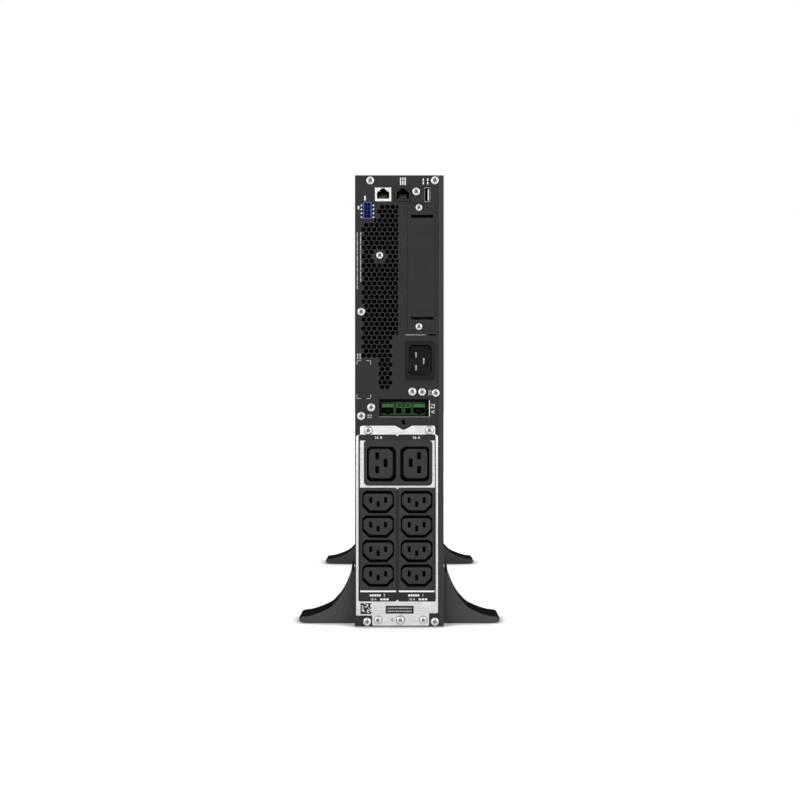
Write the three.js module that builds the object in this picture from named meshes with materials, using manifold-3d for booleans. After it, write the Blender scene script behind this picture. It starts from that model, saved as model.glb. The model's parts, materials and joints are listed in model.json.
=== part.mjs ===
// A two-unit rackmount UPS standing as a tower on four stabiliser feet.
// Millimetres, +Z up. The origin is on the floor under the middle of the case, and the rear panel faces -Y.
// Rack-up is +X here, so the base pan is the left wall and the top cover is the right one.
import * as THREE from 'three';
import { mergeGeometries, mergeVertices } from 'three/addons/utils/BufferGeometryUtils.js';
import Module from 'manifold-3d';

// ---- driving dimensions ----
const WIDTH = 85; // case, across X
const HEIGHT = 432; // case, up Z
const DEPTH = 584; // rear sheet to bezel face
const SHEET = 1.2; // case sheet metal
const GAP = 0.3; // clearance between neighbouring pieces
const COVER_RETURN = 5.3; // how far the top cover folds over the rear and the sides
const BEZEL_DEPTH = 38;
const BEZEL_WALL = 3;
const PLATE = 1; // output plate and card slot cover
const FILM = 0.2; // printed label
const SCREW_HEAD = 2.2; // height of a pan head
const SCREW_SHANK_R = 1.7;
const SOCKET_PROUD = 2.4; // sockets stand this far out of the rear sheet
const FOOT_REACH = 55.25; // a foot's tip, from the case wall
const FOOT_DEPTH = 44;
const FOOT_TOP = 57;
const REAR_FOOT_INSET = 18; // from the rear sheet
const FRONT_FOOT_INSET = 43.7; // from the case's front edge
const BAY_HEIGHT = 207; // top of the battery bay
const FAN_ROOM = 1.3; // between a fan's frame and the case's sheets
const FAN_DEPTH = 25;
const FAN_MARGIN = 8; // below the lower fan and above the upper one
const FAN_INSET = 190; // fans, from the rear sheet
const BATTERY = { x: 65, z: 94 }; // one 12 V block; its length follows the bay
const BATTERY_ROWS = 3; // blocks along the depth, in two columns
const BATTERY_INSET = 83.9; // battery tray, from the rear sheet
const VENT_PITCH = 5.08;
const VENT_ROW = 4.31;
const VENT_HOLE = 4.1; // across the flats
const CARD = { x0: 8, x1: 34, height: 122, depth: 150 }; // accessory card slot
const DISPLAY = { width: 68, height: 106, depth: 20.5 }; // tilting display housing
const KEY_TRAVEL = 1;
const KEY_POCKET = 6.5;

// ---- what follows from them ----
const LEFT = -WIDTH / 2;
const RIGHT = WIDTH / 2;
const PROUD = GAP + PLATE + GAP + SCREW_HEAD; // output plate screws, the rearmost points
const REAR = -(DEPTH - PROUD) / 2; // outer face of the rear sheet
const FRONT = REAR + DEPTH; // bezel face
const BEHIND_SHEET = REAR + SHEET + GAP;
const CASE_FRONT = FRONT - BEZEL_DEPTH - GAP;
const PANEL_RIGHT = RIGHT - COVER_RETURN - GAP;
const PLATE_FACE = REAR - GAP - PLATE;
const SOCKET_FACE = REAR - SOCKET_PROUD;
const FAN_SIZE = WIDTH - 2 * (SHEET + FAN_ROOM);
const fromTop = (distance) => HEIGHT - distance;

// ---- finishes ----
const finish = (color, roughness, metalness = 0) =>
  new THREE.MeshStandardMaterial({ color, roughness, metalness });
const FINISH = {
  paint: finish(0x363637, 0.6, 0.2),
  zinc: finish(0xdcdddd, 0.35, 0.8),
  label: finish(0x242425, 0.5),
  socket: finish(0x404041, 0.5),
  black: finish(0x1c1c1d, 0.5),
  steel: finish(0xd3d6d7, 0.3, 0.9),
  ivory: finish(0xe4dfd0, 0.4),
  green: finish(0x2f6a2c, 0.45),
  blue: finish(0x2a4a9c, 0.45),
  board: finish(0x1d4a2c, 0.5),
  aluminium: finish(0xb6b9bb, 0.4, 0.8),
  copper: finish(0xa8643c, 0.35, 0.8),
  ferrite: finish(0x3a3a3c, 0.7),
  capacitor: finish(0x20304a, 0.35),
  battery: finish(0x4a4d52, 0.6),
  foot: finish(0x29292a, 0.55),
  bezel: finish(0x1b1c1d, 0.5),
  window: finish(0x10161a, 0.1),
  key: finish(0x3a3c3e, 0.4),
};

// ---- solids ----
const wasm = await Module();
wasm.setup();

function solid(shape) {
  if (!shape.isBufferGeometry) return shape;
  const bare = shape.clone();
  bare.deleteAttribute('normal');
  bare.deleteAttribute('uv');
  const merged = mergeVertices(bare, 1e-4);
  return new wasm.Manifold(
    new wasm.Mesh({
      numProp: 3,
      vertProperties: new Float32Array(merged.attributes.position.array),
      triVerts: new Uint32Array(merged.index.array),
    }),
  );
}

const join = (first, ...others) => others.reduce((sum, other) => sum.add(solid(other)), solid(first));
const cut = (body, ...tools) => tools.reduce((rest, tool) => rest.subtract(solid(tool)), solid(body));

function geometryOf(shape) {
  if (shape.isBufferGeometry) return shape;
  const { vertProperties, triVerts } = shape.getMesh();
  const geometry = new THREE.BufferGeometry();
  geometry.setAttribute('position', new THREE.BufferAttribute(vertProperties, 3));
  geometry.setIndex(new THREE.BufferAttribute(triVerts, 1));
  geometry.computeVertexNormals();
  return geometry;
}

const ups = new THREE.Group();

function add(name, shape, material) {
  const mesh = new THREE.Mesh(geometryOf(shape), material);
  mesh.name = name;
  ups.add(mesh);
  return mesh;
}

const box = (x0, x1, y0, y1, z0, z1) =>
  new THREE.BoxGeometry(x1 - x0, y1 - y0, z1 - z0).translate((x0 + x1) / 2, (y0 + y1) / 2, (z0 + z1) / 2);

const boxAt = (x, y, z, width, depth, height) =>
  box(x - width / 2, x + width / 2, y - depth / 2, y + depth / 2, z - height / 2, z + height / 2);

// A rod along Y; sides = 6 makes a hexagon.
const rod = (x, z, radius, y0, y1, sides = 20) =>
  new THREE.CylinderGeometry(radius, radius, y1 - y0, sides).translate(x, (y0 + y1) / 2, z);

const outline = (points) => new THREE.Shape(points.map(([x, z]) => new THREE.Vector2(x, z)));

// An outline in X and Z, pushed from y0 to y1.
function pushY(shape, y0, y1, curveSegments = 4) {
  const geometry = new THREE.ExtrudeGeometry(shape, { depth: y1 - y0, bevelEnabled: false, curveSegments });
  return geometry.rotateX(Math.PI / 2).translate(0, y1, 0);
}

// A flat piece from y0 to y1 with holes punched through it.
function punched(shape, holes, y0, y1, curveSegments = 3) {
  const punches = mergeGeometries(holes.map((hole) => pushY(hole, y0 - 1, y1 + 1, curveSegments)));
  return cut(pushY(shape, y0, y1, curveSegments), punches);
}

// An outline in Y and Z, pushed from x0 to x1.
function pushX(shape, x0, x1, curveSegments = 4) {
  const geometry = new THREE.ExtrudeGeometry(shape, { depth: x1 - x0, bevelEnabled: false, curveSegments });
  return geometry.rotateX(Math.PI / 2).rotateZ(Math.PI / 2).translate(x0, 0, 0);
}

// A rectangle with its four corners cut off, from lower left round to upper left.
function chamfered(x0, x1, z0, z1, lowerLeft, lowerRight, upperRight, upperLeft) {
  return outline([
    [x0 + lowerLeft, z0],
    [x1 - lowerRight, z0],
    [x1, z0 + lowerRight],
    [x1, z1 - upperRight],
    [x1 - upperRight, z1],
    [x0 + upperLeft, z1],
    [x0, z1 - upperLeft],
    [x0, z0 + lowerLeft],
  ]);
}

function rounded(x0, x1, z0, z1, radius) {
  const shape = new THREE.Shape();
  shape.absarc(x1 - radius, z0 + radius, radius, -Math.PI / 2, 0);
  shape.absarc(x1 - radius, z1 - radius, radius, 0, Math.PI / 2);
  shape.absarc(x0 + radius, z1 - radius, radius, Math.PI / 2, Math.PI);
  shape.absarc(x0 + radius, z0 + radius, radius, Math.PI, Math.PI * 1.5);
  shape.closePath();
  return shape;
}

const rectangle = (x0, x1, z0, z1) => outline([[x0, z0], [x1, z0], [x1, z1], [x0, z1]]);

const around = ({ x0, x1, z0, z1 }, room = GAP) => rectangle(x0 - room, x1 + room, z0 - room, z1 + room);

function circle(x, z, radius) {
  const shape = new THREE.Shape();
  shape.absarc(x, z, radius, 0, Math.PI * 2);
  return shape;
}

// ---- places of the rear panel's pieces ----
const NETWORK = { x0: -23.4, x1: -7.8, z0: fromTop(24.9), z1: fromTop(11.8) };
const SERIAL = { x0: -4.5, x1: 11.1, z0: fromTop(25.1), z1: fromTop(10.7) };
const USB = { x0: 23.9, x1: 29.7, z0: fromTop(25.9), z1: fromTop(11.6) };
const EMERGENCY = { x0: -34.6, x1: -26.6, z0: fromTop(42.1), z1: fromTop(25.5) };
const CARD_SLOT = { x0: CARD.x0, x1: CARD.x1, z0: fromTop(27 + CARD.height), z1: fromTop(27) };
const INLET = { x0: 6, x1: 33.5, z0: fromTop(195.5), z1: fromTop(158.9) };
const BATTERY_PORT = { x0: -19.2, x1: 27.5, z0: 201.3, z1: 217.8 };
const OUTLET_PAIR = { x0: -33.7, x1: 31.3, z0: 135.2, z1: 178.6 };
const STRIP_LEFT = { x0: -37.3, x1: -3.3, z0: 35.8, z1: 132.6 };
const STRIP_RIGHT = { x0: -0.5, x1: 33.5, z0: 35.8, z1: 132.6 };
const PLATE_SCREWS = [
  ['plate_screw_left', -29.8, 187.8],
  ['plate_screw_right', 28.8, 187.8],
];
const EARTH = { x: 0.9, z: 6.6 };
const CARD_SCREWS = [
  ['card_screw_upper', 18.7, CARD_SLOT.z1 - 4],
  ['card_screw_lower', 18.7, CARD_SLOT.z0 + 4.1],
];
const FAN_SCREW = { x: -18.8, z: fromTop(76.7), land: 6.8 };
const EDGE_SCREW = { x: -36.5, z: fromTop(130.7), land: 5 };

// ---- sheet metal case ----
function basePan() {
  const wallEnd = RIGHT - COVER_RETURN - GAP;
  const section = outline([
    [LEFT, 0],
    [wallEnd, 0],
    [wallEnd, SHEET],
    [LEFT + SHEET, SHEET],
    [LEFT + SHEET, HEIGHT - SHEET],
    [wallEnd, HEIGHT - SHEET],
    [wallEnd, HEIGHT],
    [LEFT, HEIGHT],
  ]);
  add('base_pan', pushY(section, BEHIND_SHEET, CASE_FRONT), FINISH.paint);
}

function topCover() {
  const foldStart = RIGHT - COVER_RETURN;
  const section = outline([
    [foldStart, 0],
    [RIGHT, 0],
    [RIGHT, HEIGHT],
    [foldStart, HEIGHT],
    [foldStart, HEIGHT - SHEET],
    [RIGHT - SHEET, HEIGHT - SHEET],
    [RIGHT - SHEET, SHEET],
    [foldStart, SHEET],
  ]);
  const lip = box(foldStart, RIGHT, REAR - GAP, REAR - GAP + SHEET, 0, HEIGHT);
  add('top_cover', join(pushY(section, REAR - GAP, CASE_FRONT), lip), FINISH.paint);
}

// Keeps the part of a convex outline where side * (point[axis] - limit) is positive.
function clip(points, axis, limit, side) {
  const kept = [];
  points.forEach((point, i) => {
    const next = points[(i + 1) % points.length];
    const here = side * (point[axis] - limit);
    const there = side * (next[axis] - limit);
    if (here >= 0) kept.push(point);
    if (here * there < 0) {
      const share = here / (here - there);
      kept.push([0, 1].map((k) => point[k] + share * (next[k] - point[k])));
    }
  });
  return kept;
}

// The honeycomb vent. Its outline steps in at the top, beside the emergency terminal, and at the foot.
const VENT = { top: fromTop(30.3), rows: 41, evenX: -31.7, left: -36.5, right: -1.1, columns: 8 };
const VENT_STEPS = [
  { rows: 3, left: -21.2, right: VENT.right },
  { rows: 4, left: -24.2, right: VENT.right },
  { rows: 29, left: VENT.left, right: VENT.right },
  { rows: 34, left: VENT.left, right: -6.6 },
  { rows: 41, left: -19.9, right: -6.6 },
];

function ventHoles() {
  const holes = [];
  const corner = VENT_HOLE / Math.sqrt(3);
  for (let row = 0; row < VENT.rows; row++) {
    const z = VENT.top - row * VENT_ROW;
    const { left, right } = VENT_STEPS.find((step) => row < step.rows);
    for (let column = 0; column < VENT.columns; column++) {
      const x = VENT.evenX + (column - (row % 2) / 2) * VENT_PITCH;
      const onLand = [FAN_SCREW, EDGE_SCREW].some((s) => Math.hypot(x - s.x, z - s.z) < s.land);
      if (onLand) continue;
      let hexagon = [0, 1, 2, 3, 4, 5].map((k) => {
        const angle = ((k + 0.5) * Math.PI) / 3;
        return [x + corner * Math.cos(angle), z + corner * Math.sin(angle)];
      });
      hexagon = clip(clip(hexagon, 0, left, 1), 0, right, -1);
      const xs = hexagon.map((point) => point[0]);
      if (hexagon.length > 2 && Math.max(...xs) - Math.min(...xs) > VENT_HOLE / 2) {
        holes.push(outline(hexagon));
      }
    }
  }
  return holes;
}

function rearPanel() {
  const sheet = rectangle(LEFT, PANEL_RIGHT, 0, HEIGHT);
  const inletBody = { x0: INLET.x0 + 1, x1: INLET.x1 - 1, z0: INLET.z0 + 1.5, z1: INLET.z1 - 1.5 };
  const holes = [
    ...[NETWORK, SERIAL, USB, EMERGENCY, CARD_SLOT, inletBody].map((place) => around(place)),
    ...[OUTLET_PAIR, STRIP_LEFT, STRIP_RIGHT].map((place) => around(place)),
    around(BATTERY_PORT, 0),
    rectangle(5.4, 25.2, fromTop(153.5), fromTop(152.2)),
    rectangle(28, 35.1, fromTop(153.5), fromTop(152)),
    circle(4.1, 194.4, 1.6),
    circle(EARTH.x, EARTH.z, SCREW_SHANK_R + GAP),
    ...PLATE_SCREWS.map(([, x, z]) => circle(x, z, SCREW_SHANK_R + GAP)),
    ...ventHoles(),
  ];
  add('rear_panel', punched(sheet, holes, REAR, REAR + SHEET), FINISH.paint);
}

// A pan-head screw driven in +Y; its head rests just off the given face.
function screw(name, x, z, face, headRadius, shank) {
  const profile = [
    [0, -shank],
    [SCREW_SHANK_R, -shank],
    [SCREW_SHANK_R, 0],
    [headRadius, 0],
    [headRadius, SCREW_HEAD * 0.55],
    [headRadius * 0.72, SCREW_HEAD],
    [0, SCREW_HEAD],
  ].map(([radius, height]) => new THREE.Vector2(radius, height));
  const mesh = add(name, new THREE.LatheGeometry(profile, 16), FINISH.steel);
  mesh.rotation.x = Math.PI;
  mesh.position.set(x, face - GAP, z);
}

// ---- output plate ----
function outputPlate() {
  const notchX = 4;
  const plate = outline([
    [-26, 1.2],
    [28.4, 1.2],
    [28.4, 13],
    [PANEL_RIGHT, 13],
    [PANEL_RIGHT, 184.3],
    [34.1, 184.3],
    [34.1, 192.3],
    [notchX + 7.7, 192.3],
    [notchX + 2, 188.7],
    [notchX - 2, 188.7],
    [notchX - 7.7, 192.3],
    [-37.5, 192.3],
    [-37.5, 184.3],
    [LEFT + 1.1, 184.3],
    [LEFT + 1.1, 10.8],
    [-26, 10.8],
  ]);
  const windows = [OUTLET_PAIR, STRIP_LEFT, STRIP_RIGHT].map((place) => around(place));
  const screwHoles = [
    circle(EARTH.x, EARTH.z, SCREW_SHANK_R + GAP),
    ...PLATE_SCREWS.map(([, x, z]) => circle(x, z, SCREW_SHANK_R + GAP)),
  ];
  add('output_plate', punched(plate, [...windows, ...screwHoles], PLATE_FACE, PLATE_FACE + PLATE), FINISH.zinc);

  const label = chamfered(-39.1, 34.8, 24.3, 183.9, 1.5, 1.5, 1.5, 1.5);
  const labelBack = PLATE_FACE - GAP / 2;
  add('output_label', punched(label, windows, labelBack - FILM, labelBack), FINISH.label);

  for (const [name, x, z] of PLATE_SCREWS) screw(name, x, z, PLATE_FACE, 3.9, 8);
  const stud = join(
    rod(EARTH.x, EARTH.z, SCREW_SHANK_R, PLATE_FACE - GAP - 1, REAR + 10, 12),
    rod(EARTH.x, EARTH.z, 4.4, PLATE_FACE - GAP - 0.8, PLATE_FACE - GAP),
    rod(EARTH.x, EARTH.z, 3.6, PLATE_FACE - GAP - SCREW_HEAD, PLATE_FACE - GAP - 0.5, 6),
  );
  add('earth_stud', stud, FINISH.steel);
}

// ---- sockets ----
const SOCKET_BODY = 30;
const GROOVE = 20; // depth of the groove round a socket's core

// A vertical slot for one blade.
const slot = (x, z, width, height) =>
  box(x - width / 2, x + width / 2, SOCKET_FACE - 1, SOCKET_FACE + GROOVE - 3, z - height / 2, z + height / 2);

// One 16 A outlet turned on its side: side = 1 has its earth contact on the right.
function cutOutlet16(body, x, z, side) {
  const halfX = 12.95;
  const halfZ = 16;
  const near = 3.5; // corners on the earth side
  const far = 1.5;
  const corners = side > 0 ? [far, near, near, far] : [near, far, far, near];
  const recess = chamfered(x - halfX, x + halfX, z - halfZ, z + halfZ, ...corners);
  const core = chamfered(x - halfX + 2, x + halfX - 2, z - halfZ + 2.2, z + halfZ - 2.2, ...corners);
  const ring = cut(
    pushY(recess, SOCKET_FACE - 1, SOCKET_FACE + GROOVE),
    pushY(core, SOCKET_FACE - 2, SOCKET_FACE + GROOVE + 1),
  );
  const slots = [
    slot(x - side * 4.1, z + 6.6, 3.2, 6),
    slot(x - side * 4.1, z - 6.6, 3.2, 6),
    slot(x + side * 4.1, z, 3.6, 7.2),
  ];
  return cut(body, ring, ...slots);
}

function outletPair() {
  const { x0, x1, z0, z1 } = OUTLET_PAIR;
  const middle = (x0 + x1) / 2;
  const centreZ = (z0 + z1) / 2 - 1;
  let body = solid(pushY(rounded(x0, x1, z0, z1, 4), SOCKET_FACE, REAR + SOCKET_BODY));
  body = cutOutlet16(body, middle - 15.7, centreZ, 1);
  body = cutOutlet16(body, middle + 15.7, centreZ, -1);
  add('outlet_pair_16a', body, FINISH.socket);
}

function cutOutlet10(body, x, z) {
  const halfX = 15;
  const halfZ = 10.5;
  const recess = chamfered(x - halfX, x + halfX, z - halfZ, z + halfZ, 6.2, 6.2, 3.2, 3.2);
  const core = chamfered(x - 12.9, x + 12.9, z - halfZ + 2.5, z + halfZ - 2.5, 5.2, 5.2, 2.6, 2.6);
  const ring = cut(
    pushY(recess, SOCKET_FACE - 1, SOCKET_FACE + GROOVE),
    pushY(core, SOCKET_FACE - 2, SOCKET_FACE + GROOVE + 1),
  );
  const slots = [slot(x - 7.1, z + 1.6, 2.6, 5.3), slot(x + 7.1, z + 1.6, 2.6, 5.3), slot(x, z - 2, 2.7, 5.3)];
  return cut(body, ring, ...slots);
}

function outletStrip(name, place) {
  const { x0, x1, z0, z1 } = place;
  const pitch = 23.45;
  let body = solid(box(x0, x1, SOCKET_FACE, REAR + SOCKET_BODY, z0, z1));
  for (let row = 0; row < 4; row++) {
    body = cutOutlet10(body, (x0 + x1) / 2, (z0 + z1) / 2 + (row - 1.5) * pitch);
  }
  add(name, body, FINISH.socket);
}

function mainsInlet() {
  const { x0, x1, z0, z1 } = INLET;
  const bodyBack = REAR + 32;
  const recessFloor = REAR + 24;
  const flange = pushY(rounded(x0, x1, z0, z1, 2), REAR - GAP - 2, REAR - GAP);
  const body = box(x0 + 1 + GAP, x1 - 1 - GAP, REAR - 1, bodyBack, z0 + 1.5 + GAP, z1 - 1.5 - GAP);
  const recess = chamfered(x0 + 2.6, x1 - 2.6, z0 + 3.6, z1 - 3.5, 1, 1, 2.5, 2.5);
  add('mains_inlet', cut(join(flange, body), pushY(recess, REAR - 5, recessFloor)), FINISH.black);
  const pins = [
    ['inlet_pin_line', x0 + 9.9, z1 - 12.7, 5.8],
    ['inlet_pin_neutral', x0 + 9.9, z1 - 25.4, 5.8],
    ['inlet_pin_earth', x0 + 17.5, z1 - 18.8, 6.4],
  ];
  for (const [name, x, z, height] of pins) {
    add(name, boxAt(x, recessFloor - GAP - 9, z, 2, 18, height), FINISH.steel);
  }
}

// ---- small connectors ----
// A modular jack: a block with a plug opening and the notch for the plug's latch above it.
function modularJack(name, place, material) {
  const { x0, x1, z0, z1 } = place;
  const middle = (x0 + x1) / 2;
  const face = REAR - 0.6;
  const body = box(x0, x1, face, REAR + 18, z0, z1);
  const opening = box(middle - 5.9, middle + 5.9, face - 1, REAR + 12, z0 + 2.8, z0 + 10.2);
  const notch = box(middle - 2.8, middle + 2.8, face - 1, REAR + 12, z0 + 10, z0 + 12.2);
  add(name, cut(body, opening, notch), material);
}

function usbPort() {
  const { x0, x1, z0, z1 } = USB;
  const face = REAR - 0.6;
  const shell = box(x0, x1, face, REAR + 14, z0, z1);
  const mouth = box(x0 + 0.6, x1 - 0.6, face - 1, REAR + 10, z0 + 1, z1 - 1);
  const tongue = box(x1 - 2.9, x1 - 1.1, face + 1, REAR + 11, z0 + 1.8, z1 - 1.8);
  add('usb_port', join(cut(shell, mouth), tongue), FINISH.steel);
}

function emergencyTerminal() {
  const { x0, x1, z0, z1 } = EMERGENCY;
  const pitch = 3.6;
  const face = REAR - 1.5;
  const contacts = [];
  for (let row = 0; row < 4; row++) {
    const z = (z0 + z1) / 2 + (row - 1.5) * pitch;
    for (const x of [-1.7, 1.7]) contacts.push(boxAt((x0 + x1) / 2 + x, face + 2, z, 2, 6, 2));
  }
  add('emergency_terminal', cut(box(x0, x1, face, REAR + 12, z0, z1), ...contacts), FINISH.blue);
}

// The connector for an external battery pack, set back in its opening.
function batteryPort() {
  const x0 = BATTERY_PORT.x0 + 0.9;
  const x1 = BATTERY_PORT.x1 - 1.4;
  const z0 = BATTERY_PORT.z0 + 0.7;
  const z1 = BATTERY_PORT.z1 - 2.2;
  const face = REAR + 3;
  const cavity = (from, width) => box(x0 + from, x0 + from + width, face - 1, face + 15, z0 + 2.2, z0 + 7.2);
  const tab = (from) => box(x0 + from, x0 + from + 11.4, face - 1.5, face + 1, z0 + 8, z0 + 11);
  const block = cut(
    box(x0, x1, face, face + 26, z0, z1),
    cavity(1.2, 11.4),
    cavity(31.6, 11.4),
    cavity(15.3, 5),
    cavity(24.3, 5),
  );
  add('battery_port', join(block, tab(1.6), tab(31.8)), FINISH.green);
}

// ---- accessory card slot ----
function cardSlot() {
  const { x0, x1, z0, z1 } = CARD_SLOT;
  const cover = rectangle(x0, x1, z0, z1);
  const slotLeft = x0 + 3.1;
  const slotRight = x1 - 1.5;
  const holes = [
    rectangle(slotLeft, slotRight, z1 - 13.7, z1 - 10.9),
    rectangle(slotLeft, slotRight, z0 + 10.8, z0 + 13.6),
    ...CARD_SCREWS.map(([, x, z]) => circle(x, z, SCREW_SHANK_R + GAP)),
  ];
  add('card_slot_cover', punched(cover, holes, REAR, REAR + PLATE), FINISH.paint);
  for (const [name, x, z] of CARD_SCREWS) screw(name, x, z, REAR, 3.5, 6);

  const ears = CARD_SCREWS.map(([, x, z]) =>
    cut(
      box(x - 5, x + 5, BEHIND_SHEET, BEHIND_SHEET + SHEET, z - 4, z + 4),
      rod(x, z, SCREW_SHANK_R + GAP, REAR, REAR + 9, 12),
    ),
  );
  const wall = SHEET;
  const cage = cut(
    box(x0, x1, BEHIND_SHEET, REAR + CARD.depth, z0, z1),
    box(x0 + wall, x1 - wall, REAR, REAR + CARD.depth - wall, z0 + wall, z1 - wall),
  );
  add('card_cage', join(cage, ...ears), FINISH.aluminium);
}

// ---- feet ----
// A swept wing: flat on the floor, hollow-curved above, with a thin finger standing off the case wall.
function foot(name, side, rearFace) {
  const wall = RIGHT + GAP;
  const tip = RIGHT + FOOT_REACH;
  const finger = wall + 2.4;
  const shape = new THREE.Shape();
  shape.moveTo(wall, 0);
  shape.lineTo(tip - 3.7, 0);
  shape.quadraticCurveTo(tip, 0.8, tip, 3.2);
  shape.quadraticCurveTo(tip, 5.1, tip - 3, 5.6);
  shape.splineThru(
    [
      [47.2, 6.9],
      [37.3, 9.4],
      [25.7, 14.6],
      [19.8, 19.9],
      [14, 27.2],
      [8.6, 38],
      [5, 48.6],
      [3.4, FOOT_TOP],
    ].map(([out, up]) => new THREE.Vector2(RIGHT + out, up)),
  );
  shape.lineTo(finger, FOOT_TOP);
  shape.lineTo(finger, FOOT_TOP - 8);
  shape.lineTo(wall, FOOT_TOP - 8);
  shape.closePath();
  const wing = pushY(shape, rearFace, rearFace + FOOT_DEPTH, 2);
  const facing = solid(wing);
  add(name, side > 0 ? facing : facing.mirror([1, 0, 0]), FINISH.foot);
}

// ---- battery module ----
const TRAY_LEFT = LEFT + SHEET + 0.7;
const TRAY_BOTTOM = SHEET + 3;
const BLOCK_GAP = 1;
const BLOCK_LEFT = TRAY_LEFT + SHEET + GAP;
const TRAY_FRONT = CASE_FRONT - 2;
const TRAY_BACK = REAR + BATTERY_INSET;
const BLOCKS_FRONT = TRAY_FRONT - SHEET - BLOCK_GAP;
const BLOCK_DEPTH = (BLOCKS_FRONT - TRAY_BACK - SHEET) / BATTERY_ROWS - BLOCK_GAP;

function batteryModule() {
  const trayTop = TRAY_BOTTOM + 2 * SHEET + 2 * BATTERY.z + 3 * BLOCK_GAP;
  const right = BLOCK_LEFT + BATTERY.x;
  const tray = cut(
    box(TRAY_LEFT, right, TRAY_BACK, TRAY_FRONT, TRAY_BOTTOM, trayTop),
    box(TRAY_LEFT + SHEET, right + 1, TRAY_BACK + SHEET, TRAY_FRONT - SHEET, TRAY_BOTTOM + SHEET, trayTop - SHEET),
  );
  add('battery_tray', tray, FINISH.zinc);

  for (let column = 0; column < 2; column++) {
    for (let row = 0; row < BATTERY_ROWS; row++) {
      const z0 = TRAY_BOTTOM + SHEET + BLOCK_GAP + column * (BATTERY.z + BLOCK_GAP);
      const y1 = BLOCKS_FRONT - row * (BLOCK_DEPTH + BLOCK_GAP);
      const y0 = y1 - BLOCK_DEPTH;
      const lid = right - 3;
      const block = join(
        box(BLOCK_LEFT, lid, y0 + 1, y1 - 1, z0 + 1, z0 + BATTERY.z - 1),
        box(lid - 12, lid, y0, y1, z0, z0 + BATTERY.z),
        box(lid - 1, right, y0 + 8, y0 + 18, z0 + 10, z0 + 16),
        box(lid - 1, right, y0 + 8, y0 + 18, z0 + BATTERY.z - 16, z0 + BATTERY.z - 10),
      );
      add(`battery_block_${column * BATTERY_ROWS + row + 1}`, block, FINISH.battery);
    }
  }

  const handleZ = BAY_HEIGHT / 2;
  const gripOut = 20;
  const grip = outline([
    [0, -38],
    [gripOut, -38],
    [gripOut, 38],
    [0, 38],
    [0, 32],
    [gripOut - 4, 32],
    [gripOut - 4, -32],
    [0, -32],
  ]);
  const handle = pushX(grip, -14, 2).translate(0, TRAY_FRONT + GAP, handleZ);
  add('battery_handle', handle, FINISH.black);
  const plug = cut(
    box(-30, -4, TRAY_FRONT + GAP, TRAY_FRONT + 16, 160, 178),
    box(-27, -18.5, TRAY_FRONT + 6, TRAY_FRONT + 17, 163, 175),
    box(-15.5, -7, TRAY_FRONT + 6, TRAY_FRONT + 17, 163, 175),
  );
  add('battery_plug', plug, FINISH.blue);
}

// ---- electronics ----
const BOARD_FACE = LEFT + SHEET + 4;
const BOARD_FRONT = CASE_FRONT - 19;
const BOARD_BACK = REAR + FAN_INSET + FAN_DEPTH + 13;
const BAY_FLOOR = BAY_HEIGHT + SHEET;

function heatsink(name, z0, z1) {
  const fins = 9;
  const fin = 2;
  const base = 5;
  const top = BOARD_FACE + 52;
  const pitch = (z1 - z0 - fin) / (fins - 1);
  const points = [[BOARD_FACE + 2, z0]];
  for (let i = 0; i < fins; i++) {
    const z = z0 + i * pitch;
    if (i > 0) points.push([BOARD_FACE + 2 + base, z]);
    points.push([top, z], [top, z + fin]);
    if (i < fins - 1) points.push([BOARD_FACE + 2 + base, z + fin]);
  }
  points.push([BOARD_FACE + 2, z1]);
  add(name, pushY(outline(points), BOARD_BACK + 122, BOARD_FRONT - 16), FINISH.aluminium);
}

function electronics() {
  add('bay_divider', box(LEFT + SHEET + 1, PANEL_RIGHT, REAR + 40, CASE_FRONT - 6, BAY_HEIGHT, BAY_FLOOR), FINISH.zinc);
  const board = box(BOARD_FACE, BOARD_FACE + 1.6, BOARD_BACK, BOARD_FRONT, BAY_FLOOR + 4, HEIGHT - SHEET - 4);
  add('main_board', board, FINISH.board);
  heatsink('heatsink_lower', BAY_FLOOR + 10, BAY_FLOOR + 80);
  heatsink('heatsink_upper', HEIGHT - 82, HEIGHT - 12);

  const onBoard = BOARD_FACE + 2;
  const middleZ = (BAY_FLOOR + HEIGHT) / 2;
  for (let i = 0; i < 2; i++) {
    const can = new THREE.CylinderGeometry(17, 17, 46, 20).rotateZ(Math.PI / 2);
    add(`bus_capacitor_${i + 1}`, can.translate(onBoard + 23, BOARD_FRONT - 141 + 45 * i, middleZ), FINISH.capacitor);
  }
  const ring = [[14, 0], [27, 0], [30, 3], [30, 23], [27, 26], [14, 26], [14, 0]];
  const toroid = new THREE.LatheGeometry(ring.map(([r, h]) => new THREE.Vector2(r, h)), 24);
  add('output_inductor', toroid.rotateZ(-Math.PI / 2).translate(onBoard, BOARD_BACK + 50, BAY_FLOOR + 46), FINISH.copper);
  const coreZ = HEIGHT - 60;
  const transformer = join(
    boxAt(onBoard + 24, BOARD_BACK + 45, coreZ, 48, 22, 66),
    boxAt(onBoard + 24, BOARD_BACK + 45, coreZ, 34, 56, 44),
  );
  add('transformer', transformer, FINISH.ferrite);
  const comms = box(-36, 34, REAR + 3, REAR + 90, SERIAL.z1 + 0.9, SERIAL.z1 + 2.5);
  add('comms_board', comms, FINISH.board);
}

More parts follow.
